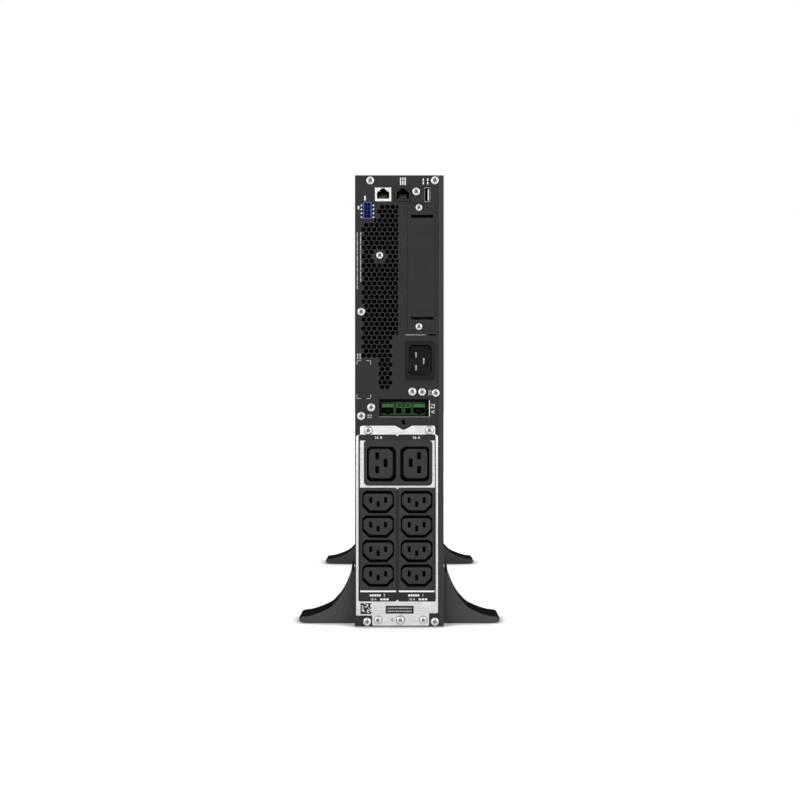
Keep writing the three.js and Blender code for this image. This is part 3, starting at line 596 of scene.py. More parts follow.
def lit_floor():
    """A pale sweep lit to white, with a painted contact shadow where the object stands near it."""
    tree, shader, place = surface("studio_floor", "#f7f7f7", 0.9)
    grain(tree, shader, place, 400, 0.001, ("#f5f5f5", "#f9f9f9"))
    reach = node(tree, "ShaderNodeVectorMath", {0: place}, operation="LENGTH").outputs["Value"]
    fade = {"Value": reach, "From Min": 0.45, "From Max": 1.9, "To Min": 0.52, "To Max": 1.1}
    glow = node(tree, "ShaderNodeMapRange", fade)
    seen = node(tree, "ShaderNodeLightPath").outputs["Is Camera Ray"]
    # Only the camera sees the painted contact shadow; the object is lit by the whole floor.
    nearness = node(tree, "ShaderNodeAmbientOcclusion", {"Distance": CONTACT_REACH}, samples=8).outputs["AO"]
    closing = node(tree, "ShaderNodeMath", {0: nearness, 1: CONTACT_FADE}, operation="POWER").outputs[0]
    levels = {0: closing, 1: 1 - CONTACT_LIGHT, 2: CONTACT_LIGHT}
    contact = node(tree, "ShaderNodeMath", levels, operation="MULTIPLY_ADD").outputs[0]
    direct = node(tree, "ShaderNodeMath", {0: glow.outputs["Result"], 1: seen}, operation="MULTIPLY")
    strength = node(tree, "ShaderNodeMath", {0: direct.outputs[0], 1: contact}, operation="MULTIPLY")
    tree.links.new(strength.outputs[0], shader.inputs["Emission Strength"])
    shader.inputs["Emission Color"].default_value = (1, 1, 1, 1)
    paint = shader.inputs["Base Color"].links[0].from_socket
    dimming = node(tree, "ShaderNodeMapRange", {"Value": seen, "To Min": 1.0, "To Max": contact})
    shades = {0: paint, "Scale": dimming.outputs["Result"]}
    shaded = node(tree, "ShaderNodeVectorMath", shades, operation="SCALE")
    tree.links.new(shaded.outputs[0], shader.inputs["Base Color"])
    return MATERIALS["studio_floor"]


def make_stage(settings):
    scene = bpy.context.scene
    scene.view_settings.view_transform = "Standard"
    camera = bpy.data.cameras.new("camera")
    camera.lens = settings.lens
    camera.sensor_width = 36
    camera.clip_start = 0.01
    camera.clip_end = 50
    holder = bpy.data.objects.new("camera", camera)
    holder.location = (0.6 * MM, REAR - settings.distance, settings.height)
    holder.rotation_euler = (math.pi / 2, 0, 0)
    scene.collection.objects.link(holder)
    scene.camera = holder

    world = bpy.data.worlds.new("studio")
    world.use_nodes = True
    tree = world.node_tree
    tree.nodes.clear()
    seen = node(tree, "ShaderNodeLightPath").outputs["Is Camera Ray"]
    way = node(tree, "ShaderNodeTexCoord").outputs["Generated"]
    along = node(tree, "ShaderNodeSeparateXYZ", {0: way}).outputs["Y"]
    # A black flag hangs opposite the camera, so that level tops mirror darkness.
    edges = {"Value": along, "From Min": 0.45, "From Max": 0.85, "To Min": settings.fill, "To Max": 0.01}
    flag = node(tree, "ShaderNodeMapRange", edges)
    soft = node(tree, "ShaderNodeBackground", {"Color": (1, 1, 1, 1), "Strength": flag.outputs["Result"]})
    white = node(tree, "ShaderNodeBackground", {"Color": (1, 1, 1, 1), "Strength": 1.0})
    mix = node(tree, "ShaderNodeMixShader", {0: seen, 1: soft.outputs[0], 2: white.outputs[0]})
    node(tree, "ShaderNodeOutputWorld", {"Surface": mix.outputs[0]})
    scene.world = world

    floor = bmesh.new()
    bmesh.ops.create_grid(floor, x_segments=1, y_segments=1, size=20)
    mesh = bpy.data.meshes.new("floor")
    floor.to_mesh(mesh)
    floor.free()
    mesh.materials.append(lit_floor())
    obj = bpy.data.objects.new("floor", mesh)
    scene.collection.objects.link(obj)

    for name, place, size, power in LIGHTS:
        light = bpy.data.lights.new(name, "AREA")
        light.shape = "RECTANGLE"
        light.size, light.size_y = size
        light.energy = power
        lamp = bpy.data.objects.new(name, light)
        lamp.location = place
        aim = Vector((0, 0, 0.2)) - Vector(place)
        lamp.rotation_euler = aim.to_track_quat("-Z", "Y").to_euler()
        scene.collection.objects.link(lamp)


# ---------------------------------------------------------------- screws

# Panel screws as (x, millimetres under the top, head radius); the two at the foot count from the floor.
UPPER_SCREWS = [
    (-27.9, 5.2, 4.0), (33.9, 5.1, 4.0), (16.1, 15.7, 4.0), (-36.5, 130.7, 3.9), (-18.8, 76.7, 3.6),
    (12.4, 207.1, 4.1), (21.8, 207.4, 3.9), (34.8, 208.4, 4.0), (-27.0, 222.2, 4.1), (-36.5, 230.4, 4.1),
]
FOOT_SCREWS = [(-30.9, 4.9, 4.0), (33.9, 4.9, 4.0)]
PLATE_SCREWS = [(-29.8, 187.8, 3.9), (28.8, 187.8, 3.9), (-20.6, 6.6, 3.6), (22.8, 6.6, 3.6)]
SCREW_FINISHES = ["screw_zinc", "zinc_painted_shade"]
# A pan head's outline as shares of its radius and height.
PAN_HEAD = [(0, 0), (1, 0), (1, 0.3), (0.97, 0.52), (0.89, 0.74), (0.76, 0.92), (0.58, 1)]


def screw_head(radius, height):
    """A pan head facing -Y with a punched cross; its seat is at y = 0."""
    bm = revolved([(r * radius, -y * height) for r, y in PAN_HEAD], 28)
    ring = [e for e in bm.edges if e.is_boundary]
    arm, half = 0.46 * radius, 0.15 * radius
    cross = []
    for k in range(4):
        c, s = math.cos(-k * math.pi / 2), math.sin(-k * math.pi / 2)
        cross += [(x * c - z * s, x * s + z * c) for x, z in ((half, half), (arm, half), (arm, -half))]
    corners = [bm.verts.new((x, -height, z)) for x, z in cross]
    sides = [bm.edges.new(pair) for pair in zip(corners, corners[1:] + corners[:1])]
    bmesh.ops.triangle_fill(bm, use_beauty=True, use_dissolve=False, edges=ring + sides)
    sunk = bmesh.ops.extrude_edge_only(bm, edges=sides)["geom"]
    low = [item for item in sunk if isinstance(item, bmesh.types.BMVert)]
    walls = [item for item in sunk if isinstance(item, bmesh.types.BMFace)]
    bmesh.ops.scale(bm, vec=(0.62, 1, 0.62), verts=low)
    bmesh.ops.translate(bm, vec=(0, 0.8 * height, 0), verts=low)
    rim = [item for item in sunk if isinstance(item, bmesh.types.BMEdge) and item.is_boundary]
    bottom = bmesh.ops.contextual_create(bm, geom=rim)
    for face in walls + bottom["faces"]:
        face.material_index = 1
    bmesh.ops.recalc_face_normals(bm, faces=bm.faces[:])
    return bm


def screws_at(places, face, height):
    """Screws on a face, each turned differently as a hand leaves them."""
    return gathered(
        moved(screw_head(radius, height), x, face, z, turn=0.35 + 1.7 * i)
        for i, (x, z, radius) in enumerate(places)
    )


def make_screws(settings):
    panel = [(x * MM, below_top(down), r * MM) for x, down, r in UPPER_SCREWS]
    panel += [mm(*screw) for screw in FOOT_SCREWS]
    piece("panel_screws", screws_at(panel, REAR, settings.height), SCREW_FINISHES, slot="screw_steel")
    washer = 0.3
    washers = []
    for x, z, r in PLATE_SCREWS:
        ring = turned([(0, 0), (r + 0.45, 0), (r + 0.45, -washer), (0, -washer)], material=1)
        washers.append(moved(ring, x * MM, PLATE_FACE, z * MM))
    heads = screws_at([mm(*screw) for screw in PLATE_SCREWS], PLATE_FACE - washer * MM, settings.height)
    card_nodes = ["card_screw_upper", "card_screw_lower"]
    cards = []
    for low, high in map(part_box, card_nodes):
        cards.append(((low.x + high.x) / 2, (low.z + high.z) / 2, (high.x - low.x) / 2))
    for name, shape, nodes in (
        ("plate_screws", gathered([heads, *washers]), ["plate_screw_left", "plate_screw_right"]),
        ("card_screws", screws_at(cards, REAR, settings.height), card_nodes),
    ):
        piece(name, shape, SCREW_FINISHES, slot="screw_steel", replaces=nodes)
    make_side_screws()


# Case-side screws as (millimetres in from the rear, millimetres above the floor).
SIDE_SCREWS = [(14, 90), (14, 250), (14, 412), (180, 424), (360, 424), (532, 90), (532, 250), (532, 412)]
# Four tapped holes for a rack ear, on each side near the front.
EAR_HOLES = [(500, 180), (500, 320), (518, 180), (518, 320)]


def make_side_screws():
    """Black oxide screws down both sides of the case, their crosses in painted shade, and the rack ears'
    empty tapped holes, each a ring round a near-black disc of painted shade.
    """
    parts = []
    for side, face in ((-1, LEFT), (1, RIGHT)):

        def placed(shape, back, up):
            parts.append(moved(shape, face, REAR + back * MM, up * MM, turn=side * math.pi / 2, axis="Z"))

        for i, (back, up) in enumerate(SIDE_SCREWS):
            placed(moved(screw_head(3.3 * MM, 0.3 * MM), turn=0.6 + 1.3 * i), back, up)
        for back, up in EAR_HOLES:
            ring = [circle(0, 0, 2.9 * MM, 24), circle(0, 0, 1.9 * MM, 24)]
            placed(plate(ring, -0.2 * MM, 0, edge=0.08 * MM), back, up)
            placed(plate([circle(0, 0, 2.0 * MM, 24)], -0.05 * MM, 0, material=2), back, up)
    piece("side_screws", gathered(parts), ["black_oxide", "recess_painted_shade", "cavity_painted_shade"], slot="screw_steel")


# ---------------------------------------------------------------- case and plates


def make_case(settings):
    refined("base_pan", settings.edge, settings.segments)
    # The cover takes the lighter copy of the coat, a painted sheen.
    refined("top_cover", settings.edge, settings.segments, finish="cover_coat_painted_sheen")
    panel = merged("rear_panel")
    bmesh.ops.dissolve_degenerate(panel, dist=2e-5, edges=panel.edges[:])
    stand_in("rear_panel", panel, ["powder_coat"], smooth=5, keep_normals=True)


def make_output_plate():
    low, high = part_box("output_plate")
    x0, x1, z0, z1 = (value / MM for value in inset(low, high))
    notch, shoulder, tab_left, tab_right = 4, 184.3, -37.5, 34.1
    corners = [
        (-26, z0, 1.2), (28.4, z0, 1.2), (28.4, 13, 0.4), (x1, 13, 1.2), (x1, shoulder - 2, 1.2),
        (tab_right, shoulder, 0.4), (tab_right, z1, 2),
        (notch + 8, z1, 3), (notch, z1 - 4.4, 4), (notch - 8, z1, 3),
        (tab_left, z1, 2), (tab_left, shoulder, 0.4),
        (x0, shoulder - 2, 1.2), (x0, 10.8, 1.2), (-26, 10.8, 0.4),
    ]
    outlines = [filleted([mm(*corner) for corner in corners])]
    for name, radius in (("outlet_pair_16a", 4), ("outlet_strip_left", 0.8), ("outlet_strip_right", 0.8)):
        outlines.append(soft_rectangle(*inset(*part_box(name), -0.15, -0.15), radius * MM))
    stand_in("output_plate", plate(outlines, low.y, high.y, edge=0.25 * MM), ["zinc_plate"])

    # A near-black disc where a round locating hole is: painted shade.
    plug = plate([circle(3.8 * MM, below_top(235.9), 1.8 * MM, 24)], REAR - 0.2 * MM, REAR + 0.3 * MM)
    piece("locating_hole_painted_shade", plug, ["recess_painted_shade"], slot="black_nylon")

    low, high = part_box("earth_stud")
    washer = turned([(0, 0), (4.4, 0), (4.4, -0.7), (4.1, -0.8), (0, -0.8)], material=1)
    head = moved(screw_head(3.7 * MM, 1.4 * MM), y=-0.8 * MM, turn=0.7)
    stud = moved(gathered([washer, head]), (low.x + high.x) / 2, PLATE_FACE, (low.z + high.z) / 2)
    stand_in("earth_stud", stud, SCREW_FINISHES)


def make_label():
    """The printed film: one window round the 16 A pair, one for each strip."""
    low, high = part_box("output_label")
    outlines = [
        soft_rectangle(*inset(low, high), 1.6 * MM),
        soft_rectangle(*mm(-37.7, 33.9, 133.0, 178.2), 0.6 * MM),
        rectangle(*inset(*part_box("outlet_strip_left"), -0.1, -0.1)),
        rectangle(*inset(*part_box("outlet_strip_right"), -0.1, -0.1)),
    ]
    stand_in("output_label", plate(outlines, low.y, high.y), ["label_film"])


# ---------------------------------------------------------------- sockets

# Between the centres of a strip's outlets, and from the middle of the 16 A pair to each of its outlets.
OUTLET_PITCH, PAIR_OFFSET = 23.45 * MM, 15.9 * MM


def with_slot_walls_painted_shade(core, slots, face):
    """Paints the walls of slots (x, z, half width, half height) near black as painted shade, from just behind
    their rounded rims.
    """
    for wall in core.faces:
        centre = wall.calc_center_median()
        if centre.y > face + 0.9 * MM:
            for x, z, half_x, half_z in slots:
                if abs(centre.x - x) < 1.05 * half_x and abs(centre.z - z) < 1.05 * half_z:
                    wall.material_index = 2
    return core


def slotted_core(outline, slots, corner, face, front, depth, edge):
    """An outlet's core, with slot walls in painted shade and two spring leaves deep down each of them.

    Slots are (x, z, half width, half height, leaves' half spacing, leaves' half height).
    """
    mouths = [slot[:4] for slot in slots]
    holes = [soft_rectangle(*around(*mouth), corner, 2) for mouth in mouths]
    core = plate([outline, *holes], face + front, face + depth, edge=edge, segments=3)
    parts = [with_slot_walls_painted_shade(core, mouths, face)]
    for x, z, _, _, spacing, half_z in slots:
        for side in (-1, 1):
            leaf = around(x + side * spacing, z, 0.2 * MM, half_z)
            parts.append(block(leaf, face + 12 * MM, face + 17 * MM, material=1))
    return parts


def outlet_10(x, z, face, depth):
    """Groove outline and parts of one 10 A outlet."""
    half_x, half_z = 15.2 * MM, 10.9 * MM
    recess = cut_corners(*around(x, z, half_x, half_z), mm(6.6, 6.6, 3.4, 3.4), radius=1.2 * MM)
    sides = (x - 13.8 * MM, x + 13.8 * MM, z - half_z + 3.1 * MM, z + half_z - 3.0 * MM)
    core = cut_corners(*sides, mm(6.0, 6.0, 2.2, 2.2), radius=1.6 * MM)
    places = [(x - 7.1 * MM, z + 1.8 * MM), (x + 7.1 * MM, z + 1.8 * MM), (x, z - 1.9 * MM)]
    slots = [(a, b, *mm(1.45, 2.7, 1.3, 2.0)) for a, b in places]
    return recess, slotted_core(core, slots, 0.35 * MM, face, 0.3 * MM, depth, 0.3 * MM)


def outlet_16(x, z, face, depth, side):
    """One 16 A outlet on its side; side = 1 has its earth slot on the right."""
    half_x, half_z = 13.9 * MM, 16.6 * MM
    cuts = mm(2.6, 3.4, 3.4, 2.6) if side > 0 else mm(3.4, 2.6, 2.6, 3.4)
    inner, outer = mm(1.9, 3.2) if side > 0 else mm(3.2, 1.9)
    recess = cut_corners(*around(x, z, half_x, half_z), cuts, radius=1.8 * MM)
    sides = (x - half_x + inner, x + half_x - outer, z - half_z + 3.0 * MM, z + half_z - 2.2 * MM)
    core = cut_corners(*sides, cuts, radius=2.2 * MM)
    slots = []
    for across, up, w, h in ((-4.0, 7.8, 1.8, 3.3), (-4.0, -5.4, 1.8, 3.3), (4.0, 1.1, 1.85, 3.9)):
        slots.append((x + side * (across - 0.1) * MM, z + up * MM, *mm(w, h, w, 0.8 * h)))
    return recess, slotted_core(core, slots, 0.4 * MM, face, 0.4 * MM, depth, 0.7 * MM)


def make_moulding(node_name, corner, steps, outlets, depth, edge, name=None):
    """A socket moulding: a face plate with a groove round each outlet's core, and a closed back."""
    low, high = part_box(node_name)
    outlines = [soft_rectangle(*inset(low, high), corner, steps)]
    parts = []
    for recess, core in outlets:
        outlines.append(recess)
        parts += core
    parts.append(plate(outlines, low.y, low.y + depth, edge=edge, segments=3))
    parts.append(block(inset(low, high), low.y + depth - 0.5 * MM, high.y, edge=0.5 * MM))
    stand_in(node_name, gathered(parts), ["socket_nylon", "contact_metal_painted_shade", "cavity_painted_shade"], name=name)


def make_outlets(settings):
    depth = settings.depth
    low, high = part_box("outlet_pair_16a")
    x, z = (low.x + high.x) / 2, (low.z + high.z) / 2 - 1.2 * MM
    pair = [outlet_16(x - side * PAIR_OFFSET, z, low.y, depth, side) for side in (1, -1)]
    make_moulding("outlet_pair_16a", 4 * MM, 6, pair, depth, 0.6 * MM, "outlet_pair_finished")
    for name in ("outlet_strip_left", "outlet_strip_right"):
        low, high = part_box(name)
        x, z = (low.x + high.x) / 2, (low.z + high.z) / 2
        rows = [outlet_10(x, z + (row - 1.5) * OUTLET_PITCH, low.y, depth) for row in range(4)]
        make_moulding(name, 0.8 * MM, 5, rows, depth, settings.edge)


def make_inlet():
    low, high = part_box("mains_inlet")
    face, inside = low.y, REAR + 24 * MM
    rim = soft_rectangle(*inset(low, high), 2 * MM, 6)
    step = soft_rectangle(*inset(low, high, 1.3, 1.8), 1.2 * MM)
    sides = (low.x + 2.6 * MM, high.x - 2.6 * MM, low.z + 3.6 * MM, high.z - 3.5 * MM)
    mouth = cut_corners(*sides, mm(2.2, 2.2, 3.2, 3.2), radius=1.4 * MM)
    centre, half = (low + high) / 2, (high - low) / 2
    well = plate([step, mouth], face, inside, edge=0.5 * MM, segments=3)
    parts = [
        plate([rim, step], face + 0.5 * MM, REAR - 0.3 * MM, edge=0.4 * MM, segments=3, material=3),
        with_slot_walls_painted_shade(well, [(centre.x, centre.z, half.x - 2.6 * MM, half.z - 3.5 * MM)], face),
        # The inlet's floor, deep in the hollow, is painted lighter: painted light.
        block(inset(low, high, 2, 2), inside - 0.4 * MM, high.y, material=1),
    ]
    stand_in("mains_inlet", gathered(parts), ["black_nylon", "inlet_floor_painted_light", "cavity_painted_shade", "inlet_flange"])
    for name in ("inlet_pin_line", "inlet_pin_neutral", "inlet_pin_earth"):
        refined(name, 0.55 * MM, 3)


# ---------------------------------------------------------------- small connectors

# Right half of a modular jack's mouth, from its floor to its latch notch, in millimetres.
JACK_MOUTH = [(5.9, 0), (5.9, 6.2), (4.7, 7.4), (3.3, 7.4), (3.3, 8.9), (1.8, 8.9), (1.8, 10.2)]


def jack_mouth(middle, base, shrink=1.0):
    """The stepped opening of a modular jack, latch notch upwards."""
    right = [(middle + x * MM * shrink, base + z * MM * shrink) for x, z in JACK_MOUTH]
    return right + [(2 * middle - x, z) for x, z in reversed(right)]


def make_jacks():
    for name, finish, wires in (
        ("network_jack", "ivory_plastic", "gold_contact"),
        ("serial_jack", "jack_black", "jack_contact"),
    ):
        low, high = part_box(name)
        face, back = low.y, low.y + 12 * MM
        middle, base = (low.x + high.x) / 2, low.z + 2.4 * MM
        mouth = jack_mouth(middle, base)
        # The mouth's lining and the back are near black: painted shade.
        parts = [
            plate([rectangle(*inset(low, high)), mouth], face, back, edge=0.2 * MM),
            plate([mouth, jack_mouth(middle, base, 0.95)], face + 2.5 * MM, back - 0.3 * MM, material=1),
            block(inset(low, high), back - 0.2 * MM, high.y, material=1),
        ]
        for k in range(8):
            x = middle + (k - 3.5) * 1.02 * MM
            tip = face + 0.3 * MM
            wire = block(around(x, 0, 0.28 * MM, 0.15 * MM), tip, tip + 6.4 * MM, material=2)
            slope = Matrix.Rotation(math.radians(46), 3, "X")
            bmesh.ops.rotate(wire, cent=(x, tip, 0), matrix=slope, verts=wire.verts)
            parts.append(moved(wire, z=low.z + 2.9 * MM))
        if name == "network_jack":
            for x in (middle - 5.5 * MM, middle + 5.5 * MM):
                lamp = around(x, high.z - 1.9 * MM, 1.3 * MM, 1.1 * MM)
                parts.append(block(lamp, face - 0.15 * MM, face + 3 * MM, edge=0.2 * MM, material=3))
        stand_in(name, gathered(parts), [finish, "cavity_painted_shade", wires, "lamp_window"])


def make_usb():
    low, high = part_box("usb_port")
    face, back = low.y, low.y + 10 * MM
    shell = [soft_rectangle(*inset(low, high), 0.5 * MM, 3), rectangle(*inset(low, high, 0.5, 0.9))]
    tongue = (high.x - 2.5 * MM, high.x - 1.3 * MM, low.z + 1.7 * MM, high.z - 1.7 * MM)
    # The shell takes the darker zinc and the back near black: painted shade.
    parts = [
        plate(shell, face, back, edge=0.15 * MM),
        block(inset(low, high), back - 0.2 * MM, high.y, material=1),
        block(tongue, face + 0.9 * MM, back, edge=0.2 * MM, material=2),
    ]
    for k in range(4):
        z = (low.z + high.z) / 2 + (k - 1.5) * 2.4 * MM
        strip = (high.x - 2.6 * MM, high.x - 2.45 * MM, z - 0.5 * MM, z + 0.5 * MM)
        parts.append(block(strip, face + 1.8 * MM, back, material=3))
    stand_in("usb_port", gathered(parts), ["zinc_painted_shade", "cavity_painted_shade", "ivory_plastic", "gold_contact"])


def make_emergency_terminal():
    low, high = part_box("emergency_terminal")
    face = low.y
    middle = (low + high) / 2
    wells = []
    for row in range(4):
        z = middle.z + (row - 1.5) * 3.6 * MM
        for x in (middle.x - 1.6 * MM, middle.x + 1.6 * MM):
            wells.append(soft_rectangle(*around(x, z, 1.1 * MM, 1.15 * MM), 0.3 * MM, 2))
    inner = rectangle(*inset(low, high, 0.9, 0.9))
    rim = soft_rectangle(*inset(low, high), 0.5 * MM, 3)
    # The rim is painted a lighter blue, a painted highlight; the back seen through the wells a near-black
    # blue, painted shade.
    parts = [
        plate([rim, inner], face, face + 2 * MM, edge=0.15 * MM, material=1),
        plate([inner, *wells], face + 0.5 * MM, face + 3 * MM, edge=0.15 * MM),
        block(inset(low, high), face + 2.8 * MM, high.y, material=2),
    ]
    stand_in("emergency_terminal", gathered(parts), ["blue_plastic", "blue_rim_painted_highlight", "blue_well_painted_shade"])


def make_battery_port():
    """The DC connector: two tee-shaped power ways and two square pilot ways under moulded marks."""
    low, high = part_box("battery_port")
    face = low.y + 1.5 * MM

    def at(x0, x1, z0, z1):
        """Sides in millimetres from the connector's lower left corner."""
        return low.x + x0 * MM, low.x + x1 * MM, low.z + z0 * MM, low.z + z1 * MM

    def corners(points):
        return [(low.x + x * MM, low.z + z * MM) for x, z in points]

    rim = rectangle(*inset(low, high))
    ways = []
    for a, b in ((1.2, 12.6), (31.6, 43.0)):
        tee = [(a, 2.4), (a + 4, 2.4), (a + 4, 0.9), (b - 4, 0.9), (b - 4, 2.4), (b, 2.4), (b, 7.2), (a, 7.2)]
        ways.append(corners(tee))
    for a in (15.3, 24.3):
        ways.append(rectangle(*at(a, a + 5, 2.2, 7.2)))
    # The surround, the frame round the connector and its back are near black: painted shade.
    surround = (low.x - 2.2 * MM, high.x + 2.2 * MM, low.z - 1.6 * MM, high.z + 3 * MM)
    frame_out = (low.x - 1.4 * MM, high.x + 0.8 * MM, low.z - 0.6 * MM, high.z + 1.4 * MM)
    frame_in = (low.x + 0.8 * MM, high.x - 0.9 * MM, low.z + 0.3 * MM, high.z - 0.1 * MM)
    outlines = [rectangle(*frame_out), rectangle(*frame_in)]
    parts = [
        plate([rim, *ways], face, face + 15 * MM, edge=0.35 * MM, segments=3),
        block(inset(low, high), face + 14.8 * MM, high.y, material=2),
        plate([rectangle(*surround), rim], REAR + 1.3 * MM, REAR + 2 * MM, material=2),
        plate(outlines, face - 0.12 * MM, REAR + 0.5 * MM, material=2),
    ]
    # Raised marks, rings, sill and bar take the brighter green: painted highlight.
    for a in (1.6, 31.8):
        b, middle = a + 11.4, a + 5.7
        peak = [(middle + 0.8, 10.9), (middle, 12.4), (middle - 0.8, 10.9)]
        mark = [(a, 8.0), (b, 8.0), (b, 10.9), *peak, (a, 10.9)]
        parts.append(plate([corners(mark)], low.y, face + 0.5 * MM, edge=0.3 * MM, material=1))
    for place in corners([(18.1, 10.1), (27.0, 10.1)]):
        ring = [circle(*place, 2.9 * MM), circle(*place, 2.2 * MM)]
        parts.append(plate(ring, low.y + 0.6 * MM, face + 0.5 * MM, material=1))
    sill = (low.x + 0.6 * MM, high.x - 0.6 * MM, low.z + 0.1 * MM, low.z + 0.6 * MM)
    parts.append(block(sill, face - 0.3 * MM, face + 0.4 * MM, material=1))
    parts.append(block(at(18, 27.2, 7.5, 8.1), low.y + 0.8 * MM, face + 0.4 * MM, material=1))
    for x in (6.9, 37.3):
        blade = at(x - 3.4, x + 3.4, 4.2, 5.2)
        parts.append(block(blade, face + 3 * MM, face + 14.9 * MM, edge=0.2 * MM, material=3))
    finishes = ["green_plastic", "green_painted_highlight", "cavity_painted_shade", "contact_metal_painted_shade"]
    stand_in("battery_port", gathered(parts), finishes)


def make_card_slot():
    refined("card_slot_cover", 0.2 * MM)


# ---------------------------------------------------------------- print


class Printing:
    """Marks of one ink on a flat face, gathered into one piece."""

    def __init__(self, face, thickness):
        self.face = face
        self.thickness = thickness
        self.marks = []

    def bar(self, sides):
        self.marks.append(block(sides, self.face - self.thickness, self.face))

    def shape(self, outline):
        self.marks.append(plate([outline], self.face - self.thickness, self.face))

    def broken_bars(self, sides, words, gap, upright=True):
        """Short bars where a line of small print would be; words are their relative lengths."""
        x0, x1, z0, z1 = sides
        room = (z1 - z0 if upright else x1 - x0) - gap * (len(words) - 1)
        at = 0.0
        for word in words:
            length = room * word / sum(words)
            self.bar((x0, x1, z0 + at, z0 + at + length) if upright else (x0 + at, x0 + at + length, z0, z1))
            at += length + gap

    def text(self, text, size, x, z, turn=0.0):
        self.marks.append(lettering(text, size * MM, x, self.face, z, self.thickness, turn))

    def finish(self, name, ink_name):
        piece(name, gathered(self.marks), [ink_name])


def below(x0, x1, low, high):
    """Sides of a mark, its height given as millimetres under the case's top."""
    return x0 * MM, x1 * MM, below_top(low), below_top(high)


def make_panel_print(settings):
    face = REAR - 0.01 * MM
    white, grey = Printing(face, settings.thickness), Printing(face, settings.thickness)
    # Upright small print: ink, left edges, width, lower and upper end, words and the gap between them.
    for printing, edges, width, low, high, words, gap in (
        (grey, [-40.7], 0.9, 109, 54.5, [5, 3, 7, 2, 6, 4, 8, 3, 5, 7, 2, 6], 0.8),
        (grey, [-37.5], 0.9, 102, 54.5, [4, 6, 3, 7, 5, 2, 6, 8, 3], 0.8),
        (white, [0.6, 2.8, 5.0], 1.1, 9.3, 2.2, [3, 2], 0.6),
        (white, [22.4, 26.6], 1.0, 8.8, 3.0, [2, 2], 0.6),
        (grey, [-40.6, -38.2], 1.3, 176, 170.5, [2, 3], 0.5),
        (grey, [27.9, 29.6], 1.0, 210.6, 205.6, [2, 3], 0.5),
    ):
        for x in edges:
            printing.broken_bars(below(x, x + width, low, high), words, gap * MM)
    for z in (230.2, 232.3):
        grey.broken_bars(below(-30.6, -26.4, z, z - 1.2), [3, 2], 0.4 * MM, upright=False)
    for row in range(4):
        for x in (-36.3, -24.9):
            white.shape(circle(x * MM, below_top(28.8 + 3.82 * row), 0.75 * MM, 16))
    white.bar(below(-33.6, -32.2, 24.2, 19.8))
    white.bar(below(-39.8, -38.4, 32.6, 29.4))
    white.bar(below(28.5, 29.1, 230.8, 215.6))
    grey.bar(below(-20, 28.2, 231.4, 231.1))
    # Corner marks round the bare field.
    arm, width = 4.2, 0.65
    for x, inward in ((-41.0, 1), (-27.2, -1)):
        for z, down in ((177.1, 1), (214.0, -1)):
            for reach, drop in ((arm, width), (width, arm)):
                left, right = sorted((x, x + inward * reach))
                high, low = sorted((z, z + down * drop))
                grey.bar(below(left, right, low, high))
    white.text("72 V", 5.2, 31.8 * MM, below_top(223.2), turn=math.pi / 2)
    white.finish("panel_print", "white_ink")
    grey.finish("panel_small_print", "grey_ink")
    bracket = block(below(5.5, 25.1, 152.95, 152.5), REAR + 0.8 * MM, REAR + 1.1 * MM)
    piece("inlet_bracket_edge", bracket, ["zinc_plate"], slot="zinc_plate")


def matrix_code(printing, x, z, size, count=10):
    """A made-up square pattern of cells with two solid edges."""
    seed = 7
    for row in range(count):
        for column in range(count):
            seed = (seed * 75 + 74) % 65537
            if row == 0 or column == 0 or seed % 7 < 4:
                x0, z0 = x + column * size, z + row * size
                printing.bar((x0, x0 + size, z0, z0 + size))


